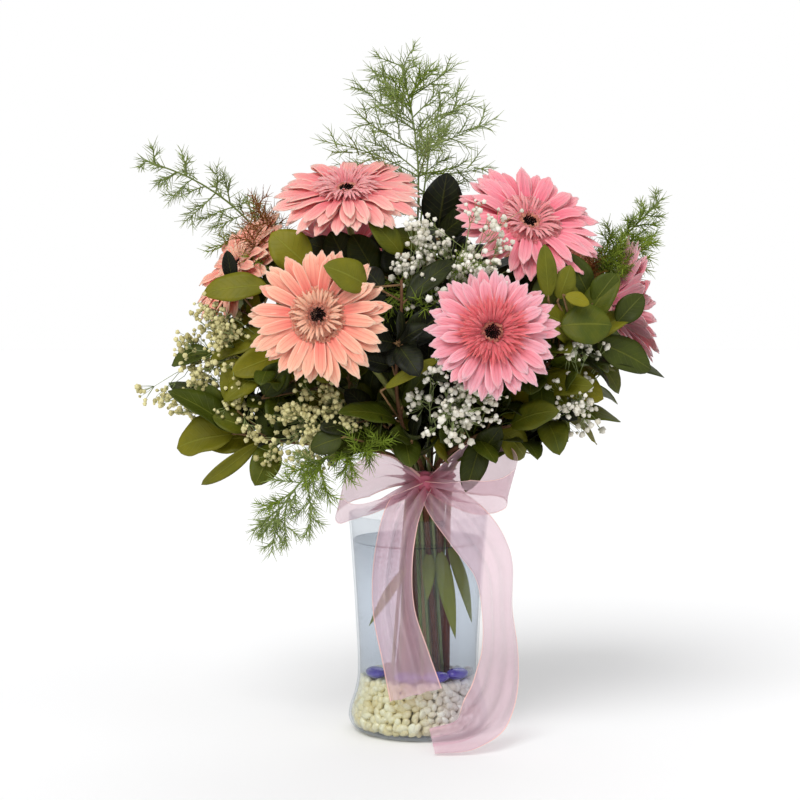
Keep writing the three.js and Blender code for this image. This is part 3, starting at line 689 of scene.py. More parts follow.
class Value:
    """A shader value whose operators add the nodes that work it out."""

    def __init__(self, tree: "Tree", socket: bpy.types.NodeSocket) -> None:
        """Wraps a node's output socket."""
        self.tree, self.socket = tree, socket

    def math(self, operation: str, *others: Any, clamp: bool = False) -> "Value":
        """Adds a Math node on this value and others."""
        inputs = {i: value for i, value in enumerate((self, *others))}
        return self.tree.add("Math", inputs, operation=operation, use_clamp=clamp)

    def __add__(self, other: Any) -> "Value":
        """The sum."""
        return self.math("ADD", other)

    def __sub__(self, other: Any) -> "Value":
        """The difference."""
        return self.math("SUBTRACT", other)

    def __rsub__(self, other: Any) -> "Value":
        """The difference from a number."""
        return self.tree.add("Math", {0: other, 1: self}, operation="SUBTRACT")

    def __mul__(self, other: Any) -> "Value":
        """The product."""
        return self.math("MULTIPLY", other)

    def __pow__(self, other: Any) -> "Value":
        """The power."""
        return self.math("POWER", other)

    __radd__ = __add__
    __rmul__ = __mul__

    def above(self, limit: float, soft: float) -> "Value":
        """0 below a limit and 1 above it, with a soft step."""
        inputs = {"Value": self, "From Min": limit - soft, "From Max": limit + soft}
        return self.tree.add("MapRange", inputs, interpolation_type="SMOOTHSTEP")


class Tree:
    """A material's nodes."""

    def __init__(self, name: str) -> None:
        """Starts an empty material.

        Args:
            name: The material's name.
        """
        self.material = bpy.data.materials.new(name)
        self.material.use_nodes = True
        self.nodes = self.material.node_tree.nodes
        self.links = self.material.node_tree.links
        self.nodes.clear()

    def add(
        self, kind: str, inputs: Optional[dict] = None, out: Any = 0, stops: Sequence = (), **settings: Any
    ) -> Value:
        """Adds any node.

        Args:
            kind: The node's type without its prefix.
            inputs: Values or links by the socket's name or number.
            out: The output that is wanted.
            stops: A ramp's places and colours.
            settings: The node's own settings, which are set first.

        Returns:
            The wanted output.
        """
        node = self.nodes.new("ShaderNode" + kind)
        for name, value in settings.items():
            setattr(node, name, value)
        for i, (place, colour) in enumerate(stops):
            stop = node.color_ramp.elements[i] if i < 2 else node.color_ramp.elements.new(place)
            stop.position, stop.color = place, linear(colour)
        for name, value in (inputs or {}).items():
            if isinstance(value, Value):
                self.links.new(value.socket, node.inputs[name])
            else:
                node.inputs[name].default_value = value
        return Value(self, node.outputs[out])

    def uv(self) -> tuple[Value, Value]:
        """The UV's two numbers."""
        split = self.add("SeparateXYZ", {0: self.add("UVMap", uv_map="UVMap")})
        return split, Value(self, split.socket.node.outputs[1])

    def place(self) -> Value:
        """The point in the object's own coordinates, in metres."""
        return self.add("TexCoord", out="Object")

    def tint(self) -> Value:
        """The number that each copy carries."""
        return self.add("Attribute", out="Fac", attribute_name="tint")

    def noise(self, vector: Value, scale: float, detail: float = 2.0) -> Value:
        """Noise from 0 to 1 at a scale."""
        return self.add("TexNoise", {"Vector": vector, "Scale": scale, "Detail": detail})

    def stretched(self, vector: Value, scale: Colour) -> Value:
        """A vector stretched along its axes."""
        return self.add("Mapping", {"Vector": vector, "Scale": scale})

    def mix(self, share: Any, low: Any, high: Any) -> Value:
        """A colour between two.

        Args:
            share: How much of the second it has.
            low: The first colour, as numbers or a link.
            high: The second.

        Returns:
            The mixed colour.
        """
        low = low if isinstance(low, Value) else linear(low)
        high = high if isinstance(high, Value) else linear(high)
        inputs = {"Factor": share, 6: low, 7: high}
        return self.add("Mix", inputs, out=2, data_type="RGBA", clamp_factor=True)

    def bump(self, height: Value, strength: float, distance: float) -> Value:
        """A normal bumped by a height in metres times a distance."""
        return self.add("Bump", {"Height": height, "Strength": strength, "Distance": distance})

    def surface(self, shader: Value) -> Material:
        """Ends the material.

        Args:
            shader: Its shader.

        Returns:
            The material.
        """
        output = self.nodes.new("ShaderNodeOutputMaterial")
        self.links.new(shader.socket, output.inputs["Surface"])
        return self.material

    def principled(self, inputs: dict) -> Material:
        """Ends the material with the usual shader, and its values or links by name."""
        return self.surface(self.add("BsdfPrincipled", inputs))


@dataclass(frozen=True)
class PetalFinish:
    """A petal: deeper at its root, pale at its tip and grooved along its length, with painted shade in its
    groove valleys.
    """

    name: str
    root: Colour
    middle: Colour
    tip: Colour
    edge: Colour

    def made(self) -> Material:
        """Makes the petals' material.

        Returns:
            The material.
        """
        tree = Tree(self.name)
        across, along = tree.uv()
        tint = tree.tint()
        stops = [(0.0, self.root), (1.0, self.edge), (0.40, self.middle), (0.82, self.tip)]
        colour = tree.add("ValToRGB", {"Fac": along}, stops=stops)
        streaks = tree.noise(tree.stretched(tree.add("UVMap", uv_map="UVMap"), (26, 1.6, 1)), 1.0, 3.0)
        colour = tree.mix(streaks.above(0.56, 0.12) * 0.32, colour, self.root)
        colour = tree.mix((tint - 0.5).above(0.1, 0.4) * 0.4, colour, self.tip)
        colour = tree.mix((0.5 - tint).above(0.12, 0.38) * 0.35, colour, self.middle)
        lines = ((across - 0.5) * (3 * math.pi)).math("COSINE").math("ABSOLUTE")
        # Painted shade: the colour is drawn toward the root colour along the two groove valleys.
        colour = tree.mix((1 - lines).above(0.8, 0.2) * 0.3, colour, self.root)
        margin = (across - 0.5).math("ABSOLUTE").above(0.44, 0.06)
        colour = tree.mix(margin * 0.5, colour, self.edge)
        grooves = lines * 0.7 + streaks
        return tree.principled({
            "Base Color": colour, "Roughness": 0.62, "Sheen Weight": 0.25, "Sheen Roughness": 0.5,
            "Subsurface Weight": 0.18, "Subsurface Radius": (0.9, 0.35, 0.25), "Subsurface Scale": 0.0025,
            "Specular IOR Level": 0.25, "Normal": tree.bump(grooves, 0.5, 0.0008),
        })


@dataclass(frozen=True)
class PlainFinish:
    """A surface of two close colours, mixed by noise and by each copy's tint."""

    name: str
    dark: Colour
    light: Colour
    roughness: float = 0.6
    scale: float = 300.0
    bump: float = 0.0004
    coat: float = 0.0
    shine: float = 0.3
    lower: Optional[Colour] = None

    def made(self) -> Material:
        """Makes the material, which takes the lower colour, if there is one, below the tie.

        Returns:
            The material.
        """
        tree = Tree(self.name)
        grain = tree.noise(tree.place(), self.scale, 3.0)
        share = (grain * 0.8 + tree.tint() * 1.2) * 0.5
        colour = tree.mix(share, self.dark, self.light)
        if self.lower:
            height = tree.add("SeparateXYZ", {0: tree.place()}, out="Z")
            colour = tree.mix((1 - height.above(0.13, 0.06)) * (0.55 + share * 0.4), colour, self.lower)
        return tree.principled({
            "Base Color": colour, "Roughness": self.roughness, "Coat Weight": self.coat,
            "Specular IOR Level": self.shine, "Normal": tree.bump(grain, 0.5, self.bump),
        })


@dataclass(frozen=True)
class LeafFinish:
    """A leathery leaf with a pale midrib and side veins, browner or greener from leaf to leaf, and near black
    where its tint paints shade.
    """

    name: str = "leaf"
    # The dark end is near black to paint the shade deep in the bouquet; the olive end partly paints leaves in
    # the light.
    dark: Colour = (0.055, 0.065, 0.02)
    green: Colour = (0.26, 0.30, 0.04)
    olive: Colour = (0.50, 0.47, 0.07)
    vein: Colour = (0.54, 0.55, 0.20)
    veins: float = 9.0

    def made(self) -> Material:
        """Makes the leaves' material.

        Returns:
            The material.
        """
        tree = Tree(self.name)
        across, along = tree.uv()
        tint = tree.tint()
        out = (across - 0.5).math("ABSOLUTE")
        blotch = tree.noise(tree.place(), 90.0, 3.0)
        stops = [(0.0, self.dark), (1.0, self.olive), (0.5, self.green)]
        colour = tree.add("ValToRGB", {"Fac": tint + (blotch - 0.5) * 0.35}, stops=stops)
        rib = 1 - out.above(0.022, 0.014)
        slant = ((along * self.veins - out * 4.2) * (ROUND)).math("SINE")
        side_veins = slant.above(0.93, 0.07) * (1 - out.above(0.44, 0.06))
        colour = tree.mix(rib * (tint * 0.3 + 0.1), tree.mix(side_veins * 0.06, colour, self.vein), self.vein)
        height = side_veins * -0.6 + rib * -1.2 + blotch * 0.3
        return tree.principled({
            "Base Color": colour, "Roughness": blotch * 0.2 + 0.42, "Specular IOR Level": 0.2,
            "Normal": tree.bump(height, 0.5, 0.0005),
        })


@dataclass(frozen=True)
class ClearFinish:
    """Clear glass or water: seen through, glossier and deeper where it is seen edge on, and greyer in a band
    of painted shade from the band height up.
    """

    name: str
    clear: Colour
    deep: Colour
    gloss: float = 1.0
    depth: float = 0.9
    edge: float = 2.5
    band_shade: float = 0.0
    band: float = 0.116

    def made(self) -> Material:
        """Makes the material.

        Returns:
            The material.
        """
        tree = Tree(self.name)
        facing = tree.add("LayerWeight", {"Blend": 0.3}, out="Facing")
        grazing = tree.add("LayerWeight", {"Blend": 0.5}, out="Facing") ** 4.0
        clear = tree.add("BsdfTransparent", {"Color": linear(self.clear)})
        deep = tree.add("BsdfTransparent", {"Color": linear(self.deep)})
        height = tree.add("SeparateXYZ", {0: tree.place()}, out=2)
        # Painted shade: above the band height, a grey band just under the water's surface.
        share = (facing ** self.edge) * self.depth + height.above(self.band, 0.022) * self.band_shade
        body = tree.add("MixShader", {0: share, 1: clear, 2: deep})
        shine = tree.add("BsdfPrincipled", {
            "Base Color": linear((0.96, 0.97, 0.98)), "Roughness": 0.03, "Metallic": 1.0,
        })
        return tree.surface(tree.add("MixShader", {0: grazing * self.gloss + 0.02, 1: body, 2: shine}))


@dataclass(frozen=True)
class OrganzaFinish:
    """Sheer ribbon with a fine weave and satin edges."""

    name: str = "organza"
    thread: Colour = (0.84, 0.71, 0.76)
    fold: Colour = (0.86, 0.44, 0.54)
    edge: Colour = (0.97, 0.78, 0.73)
    cover: float = 0.46
    RIBS_ALONG = 60
    RIBS_ACROSS = 90

    def made(self) -> Material:
        """Makes the ribbon's material. The tint says how gathered, and so how dense, the cloth is.

        Returns:
            The material.
        """
        tree = Tree(self.name)
        across, along = tree.uv()
        tint = tree.tint()
        out = (across - 0.5).math("ABSOLUTE")
        edge = out.above(0.478, 0.008)
        ribs = ((along * (ROUND * self.RIBS_ALONG)).math("SINE") * 0.5
                + (across * (ROUND * self.RIBS_ACROSS)).math("SINE") * 0.5)
        cloud = tree.noise(tree.place(), 60.0, 2.0)
        colour = tree.mix(edge * 0.8, tree.mix(tint, self.thread, self.fold), self.edge)
        cover = ribs * 0.06 + (cloud - 0.5) * 0.18 + tint * 0.42 + self.cover
        cover = cover.math("ADD", edge * 0.4, clamp=True)
        shader = tree.add("BsdfPrincipled", {
            "Base Color": colour, "Roughness": 0.45, "Sheen Weight": 0.5, "Sheen Roughness": 0.35,
            "Normal": tree.bump(ribs, 0.2, 0.0002),
        })
        gauze = tree.add("BsdfTransparent", {"Color": linear((0.99, 0.94, 0.95))})
        return tree.surface(tree.add("MixShader", {0: cover, 1: gauze, 2: shader}))


@dataclass(frozen=True)
class PebbleFinish:
    """Tumbled pebbles: ivory on the left and lilac white on the right, each a little different."""

    name: str = "pebbles"

    def made(self) -> Material:
        """Makes the pebbles' material.

        Returns:
            The material.
        """
        tree = Tree(self.name)
        place = tree.place()
        left_to_right = tree.add("SeparateXYZ", {0: place}) * 14 + 0.5
        ivory = tree.mix(tree.tint(), (0.92, 0.86, 0.64), (1.0, 0.98, 0.84))
        lilac = tree.mix(tree.tint(), (0.88, 0.83, 0.82), (0.99, 0.97, 0.97))
        grain = tree.noise(place, 700.0, 4.0)
        colour = tree.mix(left_to_right.above(0.66, 0.4), ivory, lilac)
        colour = tree.mix(grain.above(0.6, 0.1) * 0.25, colour, (0.70, 0.62, 0.46))
        return tree.principled({
            "Base Color": colour, "Roughness": grain * 0.2 + 0.25, "Coat Weight": 0.3,
            "Normal": tree.bump(grain, 0.3, 0.0004),
        })


# -------------------- vase, water, pebbles and nuggets


WALL = 1.5
OUTER_WALL = centripetal(np.array([(r, 0, h) for h, r in VASE_OUTSIDE], float), 60)


def room_at(height: float) -> float:
    """The radius inside the glass at a height."""
    return float(np.interp(height, OUTER_WALL[:, 2], OUTER_WALL[:, 0])) - WALL


@dataclass
class Vase:
    """The flared glass vase with its rounded rim and foot."""

    floor: float = 3.2
    rim: float = 0.9
    finish: ClearFinish = ClearFinish("vase_glass", (0.957, 0.963, 0.968), (0.42, 0.48, 0.54), 0.5, 0.95, 5.0)

    def corner(self) -> list[Pair]:
        """The rounded corner between the inner wall and the floor, from the wall down."""
        radius = room_at(self.floor + 2)
        return [(self.floor + 0.6, radius - 0.8), (self.floor, radius - 3)]

    def profile(self) -> list[Pair]:
        """The glass in section.

        Returns:
            Heights and radii, from under the foot over the rim to the inner floor.
        """
        outside = [(point[2], point[0]) for point in OUTER_WALL]
        top, wide = outside[-1]
        rim = [(top - self.rim + self.rim * math.sin(a), wide - WALL / 2 * (1 - math.cos(a)))
               for a in np.linspace(0, math.pi, 9)]
        inside = [(height, room_at(height)) for height in np.linspace(top - 1.5, self.floor + 2, 40)]
        return [(0.0, 0.0), *outside[:-2], *rim, *inside, *self.corner(), (self.floor, 0.0)]

    def build(self) -> Object:
        """Makes the vase."""
        vase = lathe("glass_vase", self.profile(), 128)
        return settled(vase, ["vase"], [self.finish.made()])


@dataclass
class Water:
    """The water over the pebbles, drawn up a little where it meets the glass."""

    meniscus: float = 1.6
    # The water's last number greys its top band as painted shade under the surface.
    finish: ClearFinish = ClearFinish("water", (0.955, 0.965, 0.98), (0.78, 0.79, 0.80), 0.2, 0.4, 4.0, 0.42)

    def build(self) -> Object:
        """Makes the water.

        Returns:
            The piece.
        """
        side = [(height, room_at(height) - 0.12) for height in np.linspace(WATER_FLOOR, WATER_LEVEL, 10)]
        edge = side[-1][1]
        top = [(WATER_LEVEL - self.meniscus * (1 - math.exp(-depth / 1.5)), edge - depth)
               for depth in (0.4, 0.9, 1.6, 2.6, 4.5, 8, 20)]
        rows = [(WATER_FLOOR, 0.0), *side, *top, (WATER_LEVEL - self.meniscus, 0.0)]
        water = lathe("vase_water", rows)
        return settled(water, ["water"], [self.finish.made()])


@dataclass
class PebbleBed:
    """Loose pebbles against the glass, behind those, and over the top."""

    size: float = 3.5
    top: float = 40.5
    gap: float = 0.1
    seed: int = 5
    finish: PebbleFinish = PebbleFinish()
    KINDS = 10
    LAYER = 4.2
    RING = 4.9

    def inside(self, points: Points) -> Points:
        """Moves a pebble up and in, as a whole, until it is clear of the glass.

        Args:
            points: The pebble's points.

        Returns:
            Its points in place.
        """
        points = points + UP * max(0.0, Vase.floor + self.gap - points[:, 2].min())
        walls = [(height, room_at(height)) for height in np.arange(Vase.floor + 2, 60)]
        heights, radii = np.array([*reversed(Vase().corner()), *walls]).T
        for _ in range(4):
            out = unit(points.mean(axis=0) * (1, 1, 0))
            past = np.hypot(points[:, 0], points[:, 1]) - np.interp(points[:, 2], heights, radii)
            points = points - out * max(0.0, past.max() + self.gap)
        return points

    def places(self, draw: np.random.Generator) -> list[tuple[Points, float]]:
        """Lays the pebbles out in rings, three deep against the glass and then over the top.

        Args:
            draw: What makes each pebble's place and size a little different.

        Returns:
            Where each pebble lies and how large it is.
        """
        rings = []
        for behind in (0, 1, 2):
            for row, height in enumerate(np.arange(6.4, self.top - 3.5, self.LAYER)):
                radius = room_at(height) - self.size * (0.9 + 1.4 * behind)
                rings.append((radius, height, 0.5 * (row + behind), (-0.3, 0.3), (-1.3, 1.3)))
        for radius in np.arange(3.0, room_at(self.top) - 3.6, self.RING):
            rings.append((radius, self.top - self.LAYER, 0, (0, 0.5), (-1.2, 1.0)))
        found = []
        for radius, height, first, sway, lift in rings:
            count = int(ROUND * radius / (1.6 * self.size))
            for i in range(count):
                turn = ROUND * (i + first + draw.uniform(*sway)) / count
                found.append((polar(radius, turn, height + draw.uniform(*lift)), draw.uniform(0.75, 1.2)))
        return found

    def build(self) -> Object:
        """Makes the pebbles.

        Returns:
            The piece.
        """
        draw = np.random.default_rng(self.seed)
        kinds = [ball_shape(2, 0.42, seed) for seed in range(self.KINDS)]
        bed = Mesh("pebble_bed_stones", "pebbles", ("pebble_bed",), [self.finish.made()])
        for place, size in self.places(draw):
            kind = kinds[draw.integers(len(kinds))]
            turn = random_turn(draw)
            scale = self.size * size * np.array([1.25, 1.0, 0.8]) * draw.uniform(0.85, 1.12, 3)
            bed.add(kind, self.inside((kind.points * scale) @ turn.T + place), draw.uniform())
        return bed.made()


@dataclass
class Nuggets:
    """Flattened violet glass nuggets lying on the pebbles."""

    finish: PlainFinish = PlainFinish(
        "violet_glass", (0.16, 0.10, 0.46), (0.42, 0.32, 0.84), 0.06, 60.0, 0.0001, 1.0)

    def build(self) -> None:
        """Makes each nugget as a piece of its own."""
        finish = self.finish.made()
        kind = ball_shape(3, 0.06, 3)
        for i, angle in enumerate(NUGGET_ANGLES):
            turn = math.radians(angle)
            place = polar(NUGGET_RADIUS, turn, NUGGET_HEIGHT)
            around, outwards = vec(-math.sin(turn), math.cos(turn), 0), polar(1, turn)
            x, y, z = (kind.points * NUGGET * np.array([1.15, 1.1, 1.15])).T
            points = place + x[:, None] * around + y[:, None] * outwards + z[:, None] * UP
            nugget = Mesh(f"nugget_{i + 1}", "violet_glass", (f"violet_nugget_{i + 1}",), [finish])
            nugget.add(kind, points, 0.35 + 0.15 * i)
            nugget.made()


# -------------------- ribbon

# A row is a point of the ribbon's middle line, the direction across it and its gathered width.
FRONT_TAIL = [
    ((3, -29, 178), (1, 0, 0), 14), ((-6, -44, 170), (1, 0.1, 0), 22), ((-13, -53.5, 157), (1, 0.1, 0), 25),
    ((-18, -56, 128), (1, 0.1, 0), 27), ((-17, -55, 94), (1, 0, 0), 29), ((-9, -54, 62), (1, 0, 0), 33),
    ((-2, -54, 36), (1, 0, 0), 37),
]
SIDE_TAIL = [
    ((5, -29, 178), (1, 0, 0.2), 14), ((17, -41, 168), (1, 0, 0.5), 26),
    ((35, -47, 150), (0.9, 0.4, 0.5), 36), ((51, -48, 126), (0.7, 0.7, 0.2), 40),
    ((55, -48, 92), (0.55, 0.83, 0), 41), ((56, -50, 58), (0.7, 0.7, 0), 41),
    ((50, -58, 32), (0.8, 0.2, -0.4), 36), ((33, -66, 13), (0.45, -0.8, -0.4), 32),
    ((9, -67, 7), (0.1, -0.95, -0.26), 30),
]


@dataclass
class Bow:
    """The organza ribbon: a band round the stems, a knot, two loops and two tails, from one cut."""

    flat: Pair = (0.042, 0.88)
    columns: int = 28
    pleats: float = 3.0
    forward: float = 22.0
    left: tuple[float, float, float, float] = (-59.0, 17.0, 55.0, 12.0)
    right: tuple[float, float, float, float] = (60.0, 19.0, 38.0, -4.0)
    fan: float = math.radians(16)
    round_stems: float = 18.0
    to_knot: float = 2.8
    band_width: float = 15.0
    finish: OrganzaFinish = OrganzaFinish()

    def strip(self, rows: Sequence, steps: int, phase: float, depth: float = 1.0) -> tuple[Shape, Points]:
        """A length of ribbon along rows of a middle point, a width's direction and a width.

        Args:
            rows: The rows.
            steps: How many steps it has along its length.
            phase: Where its pleats start.
            depth: How deep they are, as a share of what the gathered width asks for.

        Returns:
            The strip, and how gathered it is at each point.
        """
        table = np.array([[*point, *across, width] for point, across, width in rows], float)
        line = centripetal(table, steps)
        middles, across, widths = line[:, :3], line[:, 3:6], np.clip(line[:, 6], 6, RIBBON_WIDTH)
        runs = np.gradient(middles, axis=0)
        runs /= np.linalg.norm(runs, axis=1)[:, None]
        sides = across - runs * (across * runs).sum(axis=1)[:, None]
        sides /= np.linalg.norm(sides, axis=1)[:, None]
        ups = np.cross(sides, runs)
        shares = np.linspace(-0.5, 0.5, self.columns + 1)
        gathered = RIBBON_WIDTH / widths
        slope = math.pi / 2 * np.sqrt(np.clip(gathered ** 2 - 1, 0, None))
        height = depth * widths * slope / (ROUND * self.pleats)
        marks = lengths(middles)
        waves = np.sin(ROUND * self.pleats * shares[None, :] + phase + 0.02 * marks[:, None])
        waves = waves + 0.25 * np.sin(ROUND * 5 * shares[None, :] + 0.05 * marks[:, None])
        points = (middles[:, None] + sides[:, None] * (shares[None, :] * widths[:, None])[..., None]
                  + ups[:, None] * (height[:, None] * waves)[..., None])
        deselect()
        bpy.ops.mesh.primitive_grid_add(x_subdivisions=self.columns, y_subdivisions=steps, size=1)
        grid = taken(bpy.context.object)
        order = np.lexsort((grid.points[:, 0], grid.points[:, 1]))
        placed = np.empty_like(grid.points)
        placed[order] = points.reshape(-1, 3)
        uv = np.empty_like(grid.uv)
        along = np.repeat(marks / RIBBON_WIDTH, len(shares))
        uv[order] = np.stack([np.tile(shares + 0.5, steps + 1), along], axis=1)
        dense = np.empty(len(grid.points))
        dense[order] = np.repeat(np.clip((gathered - 1.5) / 2.0, 0, 1), len(shares))
        return Shape(placed, grid.corners, grid.sizes, uv), dense

    def loop(self, reach: float, puff: float, tilt: float, droop: float) -> list:
        """The rows of a loop of the bow, out from the knot and back to it.

        Args:
            reach: How far it goes to the side.
            puff: Half its opening.
            tilt: How far its opening is turned up to the front, in degrees.
            droop: How far its end hangs.

        Returns:
            The rows.
        """
        rows = []
        cos, sin = math.cos(math.radians(tilt)), math.sin(math.radians(tilt))
        for turn in ROUND * (0.03 + 0.94 * np.linspace(0, 1, 19)):
            out = (1 - math.cos(turn)) / 2
            swing = puff * math.sin(turn) * out ** 0.6
            point = KNOT + vec(reach * out, -self.forward * out + swing * cos, swing * sin - droop * out ** 2)
            lean = math.radians(tilt) - self.fan * math.sin(turn)
            across = (0.15 * out, -math.sin(lean), math.cos(lean))
            rows.append((point, across, RIBBON_WIDTH * min(1, 0.2 + 1.4 * out)))
        return rows

    def band(self) -> list:
        """The rows of the band, close round the stems and out to the knot in front.

        Returns:
            The rows.
        """
        rows = []
        for turn in np.linspace(0, ROUND, 25) - math.pi / 2:
            radius = self.round_stems + self.to_knot * max(0.0, -math.sin(turn)) ** 3
            rows.append((TIE + polar(1, turn) * radius, (0, 0, 1), self.band_width))
        return rows

    def build(self) -> Object:
        """Returns:
            The piece.
        """
        bow = Mesh("organza_bow", "organza", ("ribbon_bow",), [self.finish.made()])
        cuts = [(FRONT_TAIL, 90, 0.4), (SIDE_TAIL, 130, 1.7), (self.loop(*self.left), 90, 0.0),
                (self.loop(*self.right), 90, 2.1), (self.band(), 96, 0.9, 0.3)]
        for cut in cuts:
            shape, dense = self.strip(*cut)
            bow.add(shape, None, dense)
        bow.add(*self.knot())
        piece = bow.made()
        return piece

    def knot(self) -> tuple[Shape, Points, float]:
        """The gathered knot: a turn of pleated ribbon over the others.

        Returns:
            Its shape, its points in place and how gathered it is.
        """
        kind = ball_shape(4, 0.0, 0)
        x, y, z = kind.points.T
        pleat = 1 + 0.07 * np.sin(11 * np.arctan2(z, y)) * (1 - 0.6 * np.abs(x))
        points = kind.points * pleat[:, None] * np.array([7.5, 5.8, 8.5]) + KNOT + vec(0, -1.5, 0)
        return replace(kind, uv=np.stack([0.5 + 0.3 * x, z], axis=1)), points, 1.0


# -------------------- blooms


class Crest(Enum):
    """How a bloom's short inner petals stand."""

    SINGLE = "a narrow ruff round a wide disc"
    SEMI_DOUBLE = "several dense rows of short petals"
    HALF_OPEN = "petals still standing up"


@dataclass(frozen=True)
class Petals:
    """One ring of petals or rays, in the bloom's own frame."""

    count: int
    root: float
    root_height: float
    reach: float
    tip_height: float
    half: float
    bend: Bend
    finish: int = 0


def bloom_shapes() -> Shapes:
    """Models what the blooms are made of.

    Returns:
        The petal, the ray, the floret and the bud, by name.
    """
    def petal(share: float) -> float:
        """Half the width of a long petal, full near its tip and narrow at its root."""
        body = 0.34 + 0.66 * math.sin(math.pi * min(share / 1.3, 1)) ** 0.9
        return body * (1 - 0.66 * max(0.0, (share - 0.76) / 0.24) ** 2.2)

    def ray(share: float) -> float:
        """Half the width of a short ray."""
        return (0.55 + 0.45 * share) * (1 - max(0.0, (share - 0.6) / 0.4) ** 2) ** 0.5

    long = blade_shape(12, 6, petal)
    edge, end = 2 * long.uv[:, 0] - 1, np.clip(long.points[:, 0] - 0.75, 0, None) / 0.25
    long.points[:, 0] -= end ** 2 * (0.035 * edge ** 2 + 0.02 * np.sin(1.5 * np.pi * edge) ** 2)
    return {"petal": long, "ray": blade_shape(4, 2, ray), "floret": floret_tube(),
            "bud": ball_shape(1, 0.0, 0)}


def floret_tube() -> Shape:
    """A small tube of a floret along Z, one high, that opens into five lobes.

    Returns:
        The floret.
    """
    deselect()
    bpy.ops.mesh.primitive_cone_add(vertices=5, radius1=0.22, radius2=0.34, depth=0.7, location=(0, 0, 0.35))
    tube_object = bpy.context.object
    bpy.ops.object.transform_apply(location=True)
    bpy.ops.object.mode_set(mode="EDIT")
    bpy.ops.mesh.select_all(action="DESELECT")
    mesh = bmesh.from_edit_mesh(tube_object.data)
    for face in mesh.faces:
        face.select = face.normal.z > 0.9
    bmesh.update_edit_mesh(tube_object.data)
    bpy.ops.mesh.inset(thickness=0.1)
    bpy.ops.transform.translate(value=(0, 0, -0.2))
    bpy.ops.object.mode_set(mode="OBJECT")
    shape = taken(tube_object)
    points = shape.points.copy()
    points[points[:, 2] > 0.6] *= (1.5, 1.5, 1.25)
    return replace(shape, points=points)


